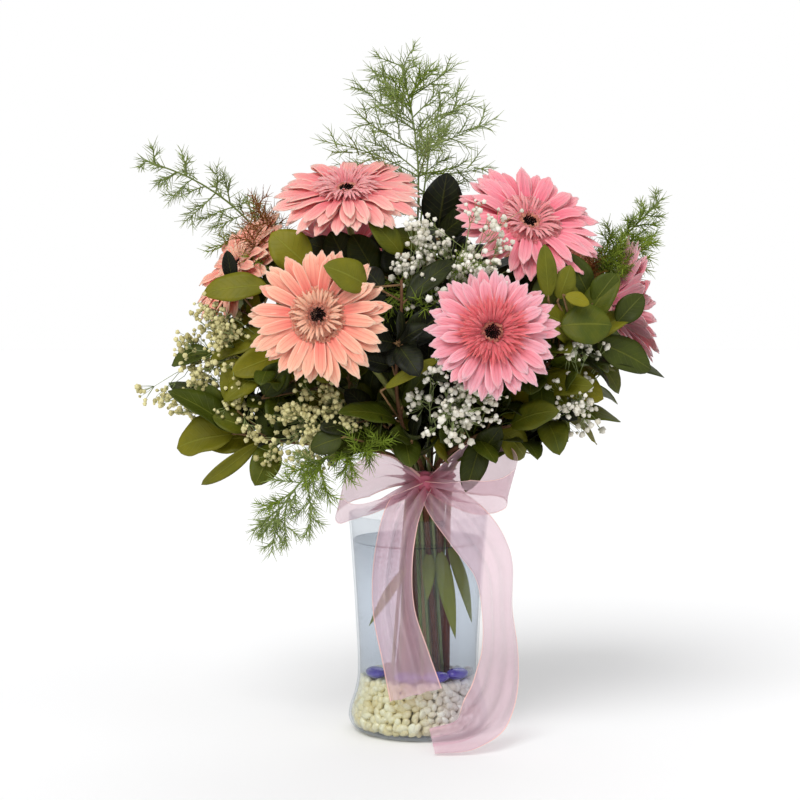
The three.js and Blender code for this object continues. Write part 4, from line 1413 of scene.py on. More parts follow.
@dataclass
class Gerbera:
    """One gerbera: its stalk with the calyx, its bloom and its dark eye."""

    name: str
    place: Pair
    way: list
    eye: Triple
    face: Triple
    size: float
    rise: float
    ruff: float
    petal: PetalFinish
    crest: PetalFinish
    slot: str
    form: Crest = Crest.SINGLE
    seed: int = 1
    PETAL_WIDTH = 0.097
    EYE_RADIUS = 5.2
    FLORET_WIDTH = 1.9
    FLORETS_PER_SQUARE = 1.8
    BUDS = 56

    def __post_init__(self) -> None:
        """Works out the bloom's frame."""
        self.middle = vec(*self.eye)
        self.axis = unit(vec(*self.face))
        turn = Vector((0, 0, 1)).rotation_difference(Vector(self.axis))
        self.turn = np.array(turn.to_matrix())
        self.draw = np.random.default_rng(self.seed)

    def world(self, points: Points) -> Points:
        """Points of the bloom's own frame in the part's frame."""
        return points @ self.turn.T + self.middle

    def rings(self) -> list[Petals]:
        """The rings of petals.

        Returns:
            The rings, from the lowest to the innermost.
        """
        size, rise, ruff = self.size, self.rise, self.ruff
        half = self.PETAL_WIDTH * size
        long = Bend(arch=0.05, droop=0.07, cup=0.12, groove=0.5, wave=0.7, thick=0.4)
        rings = [
            Petals(22, 8, -6.8, size * 1.00, size * rise - 7.8, half, long),
            Petals(20, 8, -4.8, size * 0.96, size * 0.96 * rise - 4.0, half * 0.96, long),
            Petals(15, 8, -3.0, size * 0.84, size * 0.84 * rise - 1.0, half * 0.84, long),
        ]
        short = Bend(arch=0.16, droop=-0.08, cup=0.3, wave=0.5, thick=0.35)
        rows = {Crest.SINGLE: 1, Crest.SEMI_DOUBLE: 8, Crest.HALF_OPEN: 3}[self.form]
        for row in range(rows):
            share = 1 - 0.5 * row / rows
            reach = ruff * share
            count = int(40 * share) + 6
            height = reach * rise + 1.2 + 3.4 * row / rows
            rings.append(Petals(count, 7.0, -1.0, reach, height, 1.05 - 0.2 * row / rows, short, 1))
        return rings

    def ring(self, bloom: Mesh, blade: Shape, ring: Petals, first: float) -> None:
        """Adds a ring of petals to the bloom.

        Args:
            bloom: The bloom's mesh.
            blade: The petal's shape.
            ring: The ring.
            first: The turn of its first petal.
        """
        draw = self.draw
        for i in range(ring.count):
            turn = first + ROUND * (i + draw.uniform(-0.22, 0.22)) / ring.count
            aim = turn + draw.normal() * 0.05
            reach = ring.reach * (1 + draw.uniform(-0.1, 0.02) * (2 if ring.finish else 1))
            lift = reach * draw.normal() * (0.09 if ring.finish else 0.035)
            root = polar(ring.root, turn, ring.root_height)
            tip = polar(reach, aim, ring.tip_height + lift)
            bend = ring.bend
            varied = Bend(bend.arch + draw.normal() * 0.02, bend.droop + draw.normal() * 0.03,
                          bend.cup + draw.normal() * 0.12, bend.groove, bend.wave * draw.uniform(0.3, 1.6),
                          draw.normal() * 0.22, bend.thick)
            half = ring.half * draw.uniform(0.88, 1.1)
            points = varied.lay(blade, root, tip, UP, half, draw.uniform(0, 6))
            bloom.add(blade, self.world(points), draw.uniform(), ring.finish)

    def florets(self, bloom: Mesh, shapes: Shapes) -> None:
        """Adds the disc's open florets, from the eye out to its rim.

        Args:
            bloom: The bloom's mesh.
            shapes: The blades and florets.
        """
        draw = self.draw
        inner, outer = self.EYE_RADIUS, (0.94 if self.form is Crest.SINGLE else 0.66) * self.ruff
        count = int((outer ** 2 - inner ** 2) * self.FLORETS_PER_SQUARE)
        kind = shapes["floret"]
        for i in range(count):
            radius = math.sqrt(inner ** 2 + (outer ** 2 - inner ** 2) * (i + 0.5) / count)
            turn = i * GOLDEN
            share = (radius - inner) / (outer - inner)
            tall = (2.2 + 1.4 * math.sin(math.pi * min(0.95, 0.2 + 0.7 * share))) * draw.uniform(0.85, 1.15)
            lean = 0.55 * share + draw.normal() * 0.16
            out = polar(1, turn)
            axis = unit(UP * math.cos(lean) + out * math.sin(lean) + 0.12 * draw.normal(size=3))
            side = unit(np.cross(axis, vec(-out[1], out[0], 0)))
            other = np.cross(axis, side)
            wide = self.FLORET_WIDTH * draw.uniform(0.8, 1.2)
            x, y, z = kind.points.T
            base = out * radius + UP * (-1.6 + radius * self.rise * 0.6)
            points = base + wide * (x[:, None] * side + y[:, None] * other) + tall * z[:, None] * axis
            bloom.add(kind, self.world(points), draw.uniform(), 1 if share > 0.12 else 2)

    def build_bloom(self, shapes: Shapes, heart: Material) -> None:
        """Makes the bloom: petals, crest and disc.

        Args:
            shapes: The blades and florets.
            heart: The material of the florets next to the eye.
        """
        finishes = [self.petal.made(), self.crest.made(), heart]
        bloom = Mesh(f"{self.name}_petals", self.slot, (f"{self.name}_bloom",), finishes)
        for i, ring in enumerate(self.rings()):
            self.ring(bloom, shapes["ray" if ring.finish else "petal"], ring, i * 1.3)
        self.florets(bloom, shapes)
        line = np.array([self.middle + self.axis * d for d in (-7.3, -5.5, -3.5, -1.6)])
        bloom.add(tube(line, [9.6, 11.5, 12.2, 11.4], 20), None, 0.2, 1)
        bloom.made()

    def build_eye(self, shapes: Shapes, dark: Material) -> None:
        """Makes the eye: a hollow of buds that haven't opened.

        Args:
            shapes: The blades and florets.
            dark: The buds' material.
        """
        eye = Mesh(f"{self.name}_heart", "bloom_eye", (f"{self.name}_eye",), [dark])
        kind = shapes["bud"]
        for i in range(self.BUDS):
            radius = 4.9 * math.sqrt((i + 0.5) / self.BUDS)
            place = polar(radius, i * GOLDEN, -1.5 + 0.09 * radius ** 2)
            size = np.array([0.62, 0.62, 1.3]) * self.draw.uniform(0.85, 1.15)
            eye.add(kind, self.world(kind.points * size + place), self.draw.uniform())
        x, y, z = kind.points.T
        eye.add(kind, self.world(np.stack([5.2 * x, 5.2 * y, 1.0 * z - 2.4], axis=1)), 0.0)
        eye.made()

    def build_stalk(self, shapes: Shapes, green: Material) -> None:
        """Makes the stalk, its calyx and the bracts that overlap on it.

        Args:
            shapes: The blades and florets.
            green: The stalk's material.
        """
        neck = CALYX_DEPTH + CALYX[-1][0]
        behind = [self.middle - self.axis * (neck + 14), self.middle - self.axis * neck]
        curve = centripetal(np.array([*at_tie(self.place), *self.way, *behind], float), 40)
        foot = in_bundle(self.place, FOOT[2] + GAP)
        line = np.vstack([[foot + (curve[0] - foot) * s for s in (0, 0.25, 0.5, 0.75)], curve])
        stalk = Mesh(f"{self.name}_stem", "flower_stalk", (f"{self.name}_stalk",), [green])
        stalk.add(tube(line, np.full(len(line), 2.3), 12), None, 0.5)
        cup = np.array([self.middle - self.axis * (neck - h) for h, _ in CALYX])
        stalk.add(tube(rounded(cup), rounded(np.array(CALYX, float))[:, 1], 20), None, 0.3)
        bract = shapes["ray"]
        for row, (low, high) in enumerate(((3.0, 7.6), (5.2, 9.6), (7.4, 11.6))):
            count = 12 + 4 * row
            wide = np.interp([low, high], *zip(*CALYX))
            for i in range(count):
                out = polar(1, ROUND * (i + 0.5 * row) / count)
                root = out * wide[0] + UP * (low - neck)
                tip = out * (wide[1] + 0.9) + UP * (high - neck)
                points = Bend(arch=-0.05, cup=-0.3, thick=0.5).lay(bract, root, tip, out, 1.5)
                stalk.add(bract, self.world(points), self.draw.uniform(0.3, 0.9))
        stalk.made()


PINK = PetalFinish("petal_pink", (0.86, 0.25, 0.34), (0.96, 0.44, 0.52), (0.98, 0.62, 0.66),
    (1.0, 0.8, 0.8))
CORAL_PINK = PetalFinish("petal_coral_pink", (0.9, 0.28, 0.34), (0.97, 0.46, 0.49), (0.99, 0.69, 0.65),
    (1.0, 0.9, 0.82))
SALMON = PetalFinish("petal_salmon", (0.93, 0.3, 0.29), (0.98, 0.51, 0.45), (1.0, 0.72, 0.61),
    (1.0, 0.91, 0.79))
LILAC_PINK = PetalFinish("petal_lilac_pink", (0.88, 0.27, 0.34), (0.95, 0.46, 0.51), (0.95, 0.66, 0.71),
    (0.98, 0.85, 0.87))
ROSE = PetalFinish("petal_rose", (0.88, 0.3, 0.4), (0.95, 0.54, 0.61), (0.97, 0.7, 0.74),
    (0.99, 0.86, 0.87))
CREAM_CREST = PetalFinish("crest_cream", (1.0, 0.57, 0.46), (1.0, 0.69, 0.57), (1.0, 0.77, 0.65),
    (1.0, 0.86, 0.74))
PINK_CREST = PetalFinish("crest_pink", (0.92, 0.37, 0.42), (0.97, 0.52, 0.55), (0.99, 0.67, 0.67),
    (1.0, 0.82, 0.79))
CORAL_CREST = PetalFinish("crest_coral", (0.7, 0.12, 0.18), (0.9, 0.32, 0.37), (0.95, 0.44, 0.46),
    (0.97, 0.6, 0.59))

GERBERAS = [
    Gerbera("gerbera_1", (INNER, 214), [(-14, -12, 260), (-34, -10, 325)], (-50, -25, 385),
        (-0.06, -0.5, 0.86), 54, 0.02, 26, CORAL_PINK, PINK_CREST, "pink_petals", Crest.SEMI_DOUBLE, 11),
    Gerbera("gerbera_2", (MIDDLE, 240), [(-14, -28, 236), (-44, -52, 276)], (-67, -95, 299),
        (-0.1, -0.95, 0.22), 49, 0.1, 19, SALMON, CREAM_CREST, "salmon_petals", Crest.SINGLE, 12),
    Gerbera("gerbera_3", (INNER, 334), [(30, -8, 255), (58, -8, 315)], (76, -35, 362), (0.24, -0.72, 0.65),
        54, 0.1, 23, PINK, PINK_CREST, "pink_petals", Crest.SINGLE, 13),
    Gerbera("gerbera_4", (MIDDLE, 300), [(24, -28, 230), (40, -56, 266)], (48, -100, 288),
        (0.05, -0.94, 0.28), 46, 0.06, 27, LILAC_PINK, CORAL_CREST, "pink_petals", Crest.SEMI_DOUBLE, 14),
    Gerbera("gerbera_5", (MIDDLE, 180), [(-36, 0, 242), (-86, 6, 300)], (-128, -2, 332), (-0.72, -0.4, 0.5),
        48, 0.12, 20, SALMON, CREAM_CREST, "salmon_petals", Crest.SINGLE, 15),
    Gerbera("gerbera_6", (MIDDLE, 0), [(48, 2, 236), (98, 2, 284)], (138, 2, 303), (0.93, 0.1, 0.1), 46,
        0.6, 18, ROSE, PINK_CREST, "pink_petals", Crest.HALF_OPEN, 16),
    Gerbera("gerbera_7", (INNER, 34), [(36, 22, 250), (72, 44, 292)], (104, 80, 320), (0.5, 0.75, 0.42), 50,
        0.12, 20, SALMON, CREAM_CREST, "salmon_petals", Crest.SINGLE, 17),
    Gerbera("gerbera_8", (INNER, 154), [(-12, 24, 260), (-36, 50, 306)], (-58, 92, 334), (-0.3, 0.82, 0.48),
        50, 0.1, 20, PINK, PINK_CREST, "pink_petals", Crest.SINGLE, 18),
]


# -------------------- leafy branches


@dataclass(frozen=True)
class Leaf:
    """A leaf: where it grows, its tip, its width and where its face looks."""

    at: float
    tip: Triple
    width: float
    face: Triple
    tone: Optional[float] = None


@dataclass
class Branch:
    """A leafy branch: a woody stem with entire leaves, and lance leaves where it stands in water."""

    name: str
    place: Pair
    way: list
    leaves: list[tuple]
    tone: float = 0.5
    lance: Optional[Leaf] = None
    seed: int = 1
    twigs: int = 9
    bark: float = 0.75
    sides: Sequence = ()
    more: Sequence = ()
    # Middle and radii of the bouquet's shaded middle, round which twig leaves get painted shade.
    PAINTED_SHADE_CORE = (np.array([-4.0, -26.0, 288.0]), np.array([46.0, 60.0, 52.0]))

    def bush(self, mesh: Mesh, blade: Shape, runs: Runs, room: "Room") -> None:
        """Adds side twigs of smaller leaves, which fill the inside of the bouquet; those near its middle get
        painted shade.

        Args:
            mesh: The branch's mesh.
            blade: The small leaf's shape.
            runs: The branch's runs.
            room: What the leaves stay clear of.
        """
        draw = self.draw
        ends = [(runs.at(at), vec(*end)) for at, end in self.sides]
        for i in range(self.twigs):
            at = 0.14 + 0.82 * (i + draw.uniform(0.1, 0.9)) / self.twigs
            aim = leaned(runs.tangent(at), math.radians(draw.uniform(35, 80)), i * GOLDEN + self.seed)
            ends.append((runs.at(at), runs.at(at) + aim * draw.uniform(16, 38)))
        for i, (root, end) in enumerate(ends):
            aim = unit(end - root)
            grown = []
            for k in range(8):
                start = root + (end - root) * (0.3 + 0.1 * k)
                out = leaned(aim, math.radians(draw.uniform(30, 80)) * (k < 7), 2.4 * k + i)
                face = unit(vec(0, -0.6, 0.7) + 0.35 * draw.normal(size=3))
                size = draw.uniform(20, 36)
                leaf = Leaf(0, start + out * size, size * draw.uniform(0.48, 0.62), face)
                if abs(unit(out) @ face) < 0.93 and room.has(start, leaf):
                    grown.append((start, leaf))
            if len(grown) > 1:
                mesh.add(tube(np.array([root, (root + end) / 2, end]), [0.8, 0.65, 0.45], 5), None, 0.4, 1)
                for start, leaf in grown:
                    # Painted shade: twig leaves are tinted darker overall, and darker still the nearer they
                    # grow to the shaded middle.
                    shade = math.exp(-np.linalg.norm((start - self.PAINTED_SHADE_CORE[0]) / self.PAINTED_SHADE_CORE[1]) ** 2)
                    tint = float(np.clip(self.tone - 0.18 - 0.5 * shade + 0.18 * draw.normal(), 0, 1))
                    self.lay_leaf(mesh, blade, start, leaf, leaf.tip, tint)

    def lay_leaf(self, mesh: Mesh, blade: Shape, root: Points, leaf: Leaf, tip: Points, tint: float) -> None:
        """Adds one leaf with its stalk.

        Args:
            mesh: The branch's mesh.
            blade: The leaf's shape.
            root: Where it grows.
            leaf: The leaf.
            tip: Its tip in place.
            tint: How olive it is; low tints also paint shade.
        """
        draw = self.draw
        bend = Bend(arch=0.07 + 0.02 * draw.normal(), droop=0.05 + 0.03 * draw.normal(),
                    cup=0.16 + 0.12 * draw.normal(), wave=leaf.width * 0.05 * draw.uniform(0.3, 1.5),
                    twist=0.25 * draw.normal(), thick=0.5)
        reach, face = tip - root, vec(*leaf.face)
        points = bend.lay(blade, root + reach * 0.07, tip, face, leaf.width / 2 * 1.06, draw.uniform(0, 6))
        mesh.add(blade, points, tint, 0)
        line = np.array([root, root + reach * 0.04, root + reach * 0.12])
        mesh.add(tube(line, [1.0, 0.8, 0.6], 6), None, 0.4, 1)

    def stood(self, packed: Packed, root: Points, leaf: Leaf) -> tuple[Points, bool]:
        """A leaf's tip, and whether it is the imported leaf's or else the leaf's own."""
        tip = packed.find(root, vec(*leaf.tip))
        return (vec(*leaf.tip), False) if tip is None else (tip, True)

    def build(self, blades: Shapes, finishes: Finishes, room: "Room") -> None:
        """Makes the branch.

        Args:
            blades: The leaf shapes.
            finishes: The materials of its leaves, its wood and its leaves in water.
            room: What its smaller leaves stay clear of.
        """
        self.draw = np.random.default_rng(self.seed)
        packed, found = Packed(self.name), 0
        mesh = Mesh(f"{self.name}_leaves", "leaf", (self.name,), finishes)
        runs = Runs.of(self.place, self.way, 6)
        line = runs.stem(self.place)
        grain = 1 + 0.05 * self.draw.normal(size=len(line))
        mesh.add(tube(line, np.linspace(2.0, 1.0, len(line)) * grain, 9), None, self.bark, 1)
        for leaf in (Leaf(*row) for row in self.leaves):
            root = runs.at(leaf.at)
            tip, known = self.stood(packed, root, leaf)
            found += known
            tint = float(np.clip(self.tone + 0.2 * self.draw.normal(), 0, 1))
            self.lay_leaf(mesh, blades["leaf"], root, leaf, tip, tint if leaf.tone is None else leaf.tone)
        for at, start, tip, width, face, tone in self.more:
            root = vec(*start)
            mesh.add(tube(np.array([runs.at(at), root]), [0.8, 0.7], 5), None, 0.4, 1)
            self.lay_leaf(mesh, blades["leaf"], root, Leaf(0, tip, width, face), vec(*tip), tone)
        if self.lance:
            root = in_bundle(self.place, self.lance.at)
            tip, known = self.stood(packed, root, self.lance)
            found += known
            points = Bend(arch=0.07, cup=0.3, thick=0.5).lay(
                blades["lance"], root, tip, vec(*self.lance.face), self.lance.width / 2 * 1.05)
            mesh.add(blades["lance"], points, 0.5, 2)
        LOG.info("%s: %d of %d leaves found", self.name, found, len(self.leaves) + bool(self.lance))
        self.bush(mesh, blades["small"], runs, room)
        mesh.made()


@dataclass
class Room:
    """Where more leaves may grow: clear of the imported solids, off the bloom faces and inside the bouquet."""

    solids: BVHTree
    middle: Triple = (0, 4, 262)
    radii: Triple = (168, 112, 100)
    floor: float = 203.0
    clear: float = 1.3

    def has(self, root: Points, leaf: Leaf) -> bool:
        """Whether a leaf may grow.

        Args:
            root: Where it would grow from.
            leaf: The leaf.

        Returns:
            Whether there is room for it.
        """
        tip = vec(*leaf.tip)
        if tip[2] < self.floor or np.linalg.norm((tip - self.middle) / self.radii) > 1:
            return False
        side = unit(np.cross(tip - root, leaf.face)) * leaf.width * 0.4
        middle = root + (tip - root) * 0.55
        places = [root + (tip - root) * share for share in (0.4, 0.6, 0.8, 1.0)]
        places += [middle + side, middle - side]
        for gerbera in GERBERAS:
            for place in places:
                height = (place - gerbera.middle) @ gerbera.axis
                across = np.linalg.norm(place - gerbera.middle - height * gerbera.axis)
                if -4 < height < 60 and across < gerbera.size * 0.98 + 0.25 * height:
                    return False
        return all(clear_of(self.solids, place, self.clear * MM) for place in places)


def leaf_shapes() -> Shapes:
    """Models the leaves.

    Returns:
        The broad leaf, the lance leaf and the broad leaf in a coarser mesh, by name.
    """
    def broad(share: float) -> float:
        """Half the width of an entire, elliptic leaf."""
        return math.sin(math.pi * min(1, share ** 0.97)) ** 0.62

    def lance(share: float) -> float:
        """Half the width of a lance leaf, widest near its root."""
        return math.sin(math.pi * share ** 0.7) ** 0.9

    return {"leaf": blade_shape(14, 6, broad), "lance": blade_shape(12, 4, lance),
            "small": blade_shape(8, 4, broad)}


# A leaf's row holds the fields of Leaf. A row of sides is where along the stem a twig grows, and its end.
# A row of more is where a leaf's stalk grows, its root and tip, its width, its face and its tone.
# A leaf's tone is partly its own colour and partly painted light and shade, low for leaves deep among the
# blooms.
BRANCHES = [
    Branch("leafy_left", (MIDDLE, 210), [(-30, -20, 226), (-82, -32, 262), (-112, -38, 300)],
        [(0.9, (-146, -30, 268), 22, (-0.3, -0.8, 0.6)), (0.8, (-128, -52, 258), 20, (0.2, -0.9, 0.3)),
        (0.74, (-90, -66, 262), 24, (0.1, -0.9, 0.4)), (0.64, (-122, -14, 228), 24, (-0.3, -0.5, 0.8)),
        (0.6, (-76, -30, 296), 24, (0, -0.9, 0.4)), (0.5, (-74, -56, 236), 22, (0.1, -0.9, 0.3))], 0.75,
        seed=21, twigs=12, sides=((0.6, (-96, -10, 262)), (0.8, (-124, -16, 288)), (0.7, (-108, -28, 236))),
        more=((0.95, (-73, -45, 328), (-101, -45, 354), 27, (0, -0.95, 0.2), 0.9),
        (0.98, (-100, -46, 318), (-148, -46, 314), 20, (0, -0.9, 0.45), 0.8),
        (0.9, (-92, -30, 310), (-104, -30, 334), 18, (0, -0.95, 0.2), 0.3),
        (0.9, (-51, -22, 335), (-78, -22, 348), 18, (0, -0.8, 0.5), 0.1),
        (0.98, (-128, -34, 318), (-132, -36, 342), 10, (0, -0.9, 0.2), 0.0),
        (0.8, (-111, -40, 253), (-137, -42, 263), 15, (0.1, -0.8, 0.5), 0.8),
        (0.6, (-108, -42, 240), (-89, -44, 266), 20, (0, -0.9, 0.3), 0.25))),
    Branch("leafy_low_left", (OUTER, 202), [(-34, -22, 204), (-84, -36, 208), (-128, -34, 216)],
        [(0.98, (-172, -44, 246), 22, (0.3, -0.7, 0.6)), (0.98, (-170, -26, 206), 26, (0, -0.8, 0.6)),
        (0.9, (-176, -10, 252), 20, (0, -0.7, 0.7)), (0.86, (-152, -30, 178), 11, (0.4, -0.9, 0.2)),
        (0.8, (-112, -54, 182), 20, (0.2, -0.9, 0.4)), (0.7, (-96, -52, 238), 24, (0.1, -0.9, 0.4))], 0.45,
        Leaf(120, (-35, -12, 76), 7, (-0.4, -0.9, 0)), 22, bark=0.3,
        more=((0.8, (-124, -44, 231), (-133, -46, 262), 15, (0.2, -0.9, 0.2), 0.75),
        (0.9, (-141, -24, 271), (-173, -22, 263), 16, (0.1, -0.7, 0.7), 0.45),
        (0.7, (-109, -26, 212), (-150, -26, 208), 24, (0, -0.8, 0.5), 0.8),
        (0.6, (-83, -20, 222), (-116, -22, 240), 26, (0, -0.9, 0.3), 0.0),
        (0.7, (-92, -34, 212), (-112, -36, 234), 20, (0, -0.9, 0.3), 0.3),
        (0.75, (-116, -40, 218), (-142, -44, 228), 18, (0, -0.8, 0.5), 0.55),
        (0.9, (-136, -30, 226), (-152, -34, 250), 16, (0.1, -0.9, 0.3), 0.5))),
    Branch("leafy_front_left", (OUTER, 255), [(-5, -35, 206), (-17, -56, 238), (-12, -72, 290),
        (-12, -84, 322)], [(0.9, (24, -66, 336), 16, (0, -0.8, 0.6), 0.1),
        (0.72, (22, -74, 304), 20, (0.1, -0.9, 0.3), 0.05), (0.45, (16, -76, 270), 14, (0, -0.8, 0.6), 0.3),
        (0.4, (-54, -86, 234), 19, (0.1, -0.8, 0.6), 0.5),
        (0.36, (-6, -72, 196), 18, (0.2, -0.95, 0.1), 0.4),
        (0.3, (-62, -70, 208), 20, (0.1, -0.8, 0.5), 0.35)], 0.3, Leaf(130, (6, -34, 98), 9, (0.1, -1, 0)),
        23, bark=0.0, more=((0.98, (-33, -92, 317), (-61, -107, 332), 23, (0.1, -0.9, 0.3), 0.75),
        (0.4, (-26, -84, 248), (14, -88, 271), 8, (0, -0.9, 0.4), 0.8),
        (0.2, (-50, -80, 217), (-73, -82, 209), 17, (0, -0.9, 0.4), 0.25))),
    Branch("leafy_front_right", (OUTER, 285), [(24, -32, 204), (46, -46, 218), (62, -54, 222)],
        [(0.98, (92, -76, 236), 20, (0.1, -0.8, 0.6)), (0.9, (74, -44, 200), 24, (0.1, -0.7, 0.6)),
        (0.78, (32, -58, 178), 18, (0, -0.97, 0.2)), (0.7, (52, -66, 198), 14, (0, -0.8, 0.6))], 0.35,
        Leaf(132, (26, -28, 70), 11, (0, -1, 0.1)), 24, bark=0.0),
    Branch("leafy_right", (MIDDLE, 330), [(44, -24, 224), (88, -38, 262), (112, -46, 288)],
        [(0.96, (84, -78, 300), 24, (0, -0.9, 0.35), 0.75),
        (0.98, (136, -50, 326), 20, (-0.3, -0.9, 0.2), 0.55),
        (0.98, (96, -56, 330), 16, (0.2, -0.95, 0.2), 0.7),
        (0.9, (150, -44, 300), 18, (-0.2, -0.9, 0.3), 0.8),
        (0.84, (172, -30, 258), 26, (0.1, -0.6, 0.8), 0.25), (0.74, (128, -38, 240), 24, (0.1, -0.8, 0.5)),
        (0.66, (118, -64, 250), 18, (0.1, -0.9, 0.3)), (0.6, (84, -30, 292), 24, (0, -0.9, 0.4)),
        (0.5, (80, -52, 238), 22, (0, -0.9, 0.3))], 0.6, seed=25, twigs=13, bark=0.1,
        sides=((0.7, (128, -20, 270)), (0.85, (150, -20, 276)), (0.5, (96, -6, 262))),
        more=((0.9, (87, -69, 307), (84, -70, 346), 13, (0, -0.95, 0.1), 0.7),
        (0.95, (93, -67, 307), (102, -68, 332), 14, (0.1, -0.95, 0.1), 0.7),
        (0.85, (96, -58, 294), (80, -60, 322), 21, (0, -0.95, 0.2), 0.5),
        (0.95, (96, -76, 312), (114, -76, 306), 10, (0, -0.8, 0.5), 1.0),
        (0.95, (134, -48, 291), (153, -50, 312), 17, (0, -0.9, 0.3), 0.3),
        (0.8, (118, -42, 308), (101, -44, 340), 18, (0, -0.95, 0.2), 0.35),
        (0.9, (118, -50, 305), (134, -52, 326), 18, (0, -0.95, 0.2), 0.45),
        (0.8, (92, -70, 291), (130, -66, 291), 27, (0, -0.9, 0.4), 0.55),
        (0.8, (118, -48, 281), (161, -46, 262), 24, (0, -0.85, 0.5), 0.35))),
    Branch("leafy_low_right", (OUTER, 330), [(46, -26, 206), (84, -32, 224), (104, -32, 232)],
        [(0.98, (142, -24, 224), 18, (0, -0.7, 0.7)), (0.95, (126, -10, 206), 22, (0.2, -0.5, 0.8)),
        (0.85, (96, -58, 204), 20, (0.1, -0.9, 0.4))], 0.4, Leaf(134, (38, -8, 78), 9, (0.4, -0.9, 0)), 26),
    Branch("leafy_crown", (0, 0), [(8, -4, 260), (10, 0, 330), (14, 2, 356)],
        [(0.98, (20, -8, 396), 28, (0, -0.98, 0.2)), (0.96, (44, -22, 372), 18, (-0.3, -0.9, 0.3)),
        (0.93, (-22, -42, 352), 17, (0.2, -0.9, 0.4), 0.55), (0.9, (4, 44, 376), 26, (0, 0.7, 0.7)),
        (0.8, (14, -46, 322), 20, (0, -0.7, 0.7)), (0.74, (44, 4, 340), 22, (0.3, -0.8, 0.5)),
        (0.68, (-32, -6, 342), 24, (-0.3, -0.8, 0.5)), (0.58, (-16, -50, 288), 22, (0, -0.8, 0.6)),
        (0.52, (50, -4, 300), 26, (0.2, -0.9, 0.4)), (0.46, (-44, -8, 298), 26, (-0.2, -0.9, 0.4)),
        (0.34, (46, -20, 258), 24, (0.2, -0.8, 0.5)), (0.36, (-40, 2, 258), 20, (-0.2, -0.8, 0.5))], 0.2,
        seed=27, twigs=26, bark=0.2, sides=((0.7, (-40, 22, 330)), (0.6, (-44, 4, 318)),
        (0.75, (50, 14, 326)), (0.5, (-36, -30, 276)), (0.5, (34, -34, 268)), (0.6, (2, -30, 300))),
        more=((0.85, (-10, -48, 337), (-34, -52, 364), 17, (0.1, -0.9, 0.3), 0.62),
        (0.8, (-46, -26, 326), (-61, -28, 355), 24, (0, -0.95, 0.2), 0.1),
        (0.8, (-29, -28, 324), (-46, -30, 353), 22, (0, -0.95, 0.2), 0.2),
        (0.85, (-10, -30, 322), (-20, -32, 347), 22, (0, -0.95, 0.2), 0.05),
        (0.7, (-70, -14, 326), (-90, -14, 352), 24, (0, -0.95, 0.2), 0.15),
        (0.75, (-60, -10, 322), (-72, -12, 352), 24, (0, -0.95, 0.2), 0.0),
        (0.75, (58, -20, 300), (62, -22, 332), 22, (0, -0.95, 0.2), 0.05),
        (0.75, (74, -16, 304), (84, -18, 332), 22, (0, -0.95, 0.2), 0.15))),
    Branch("leafy_back", (MIDDLE, 90), [(10, 34, 236), (14, 68, 276), (12, 88, 300)],
        [(0.98, (24, 116, 336), 26, (0, 0.9, 0.4)), (0.96, (-12, 126, 286), 26, (-0.1, 0.8, 0.6)),
        (0.9, (50, 118, 276), 26, (0.1, 0.8, 0.6)), (0.8, (-26, 104, 250), 26, (0, 0.8, 0.6)),
        (0.72, (34, 100, 232), 26, (0, 0.8, 0.6))], 0.5, seed=28),
    Branch("leafy_back_left", (MIDDLE, 150), [(-34, 26, 226), (-78, 52, 258), (-104, 62, 284)],
        [(0.98, (-140, 70, 306), 24, (-0.5, 0.6, 0.6)), (0.95, (-136, 92, 270), 24, (-0.4, 0.7, 0.5)),
        (0.9, (-148, 40, 262), 24, (-0.6, 0.3, 0.6)), (0.8, (-104, 94, 236), 26, (-0.3, 0.8, 0.5)),
        (0.7, (-118, 36, 214), 24, (-0.6, 0.4, 0.7))], 0.5, seed=29),
    Branch("leafy_back_right", (MIDDLE, 30), [(50, 26, 222), (88, 48, 244), (112, 56, 262)],
        [(0.98, (156, 60, 284), 24, (0.4, 0.5, 0.7)), (0.96, (144, 84, 250), 24, (0.4, 0.7, 0.5)),
        (0.88, (146, 34, 232), 24, (0.6, 0.2, 0.7)), (0.78, (88, 96, 226), 26, (0.2, 0.9, 0.4)),
        (0.7, (112, 50, 204), 22, (0.5, 0.4, 0.8))], 0.5, seed=30),
]


# -------------------- fern and gypsophila


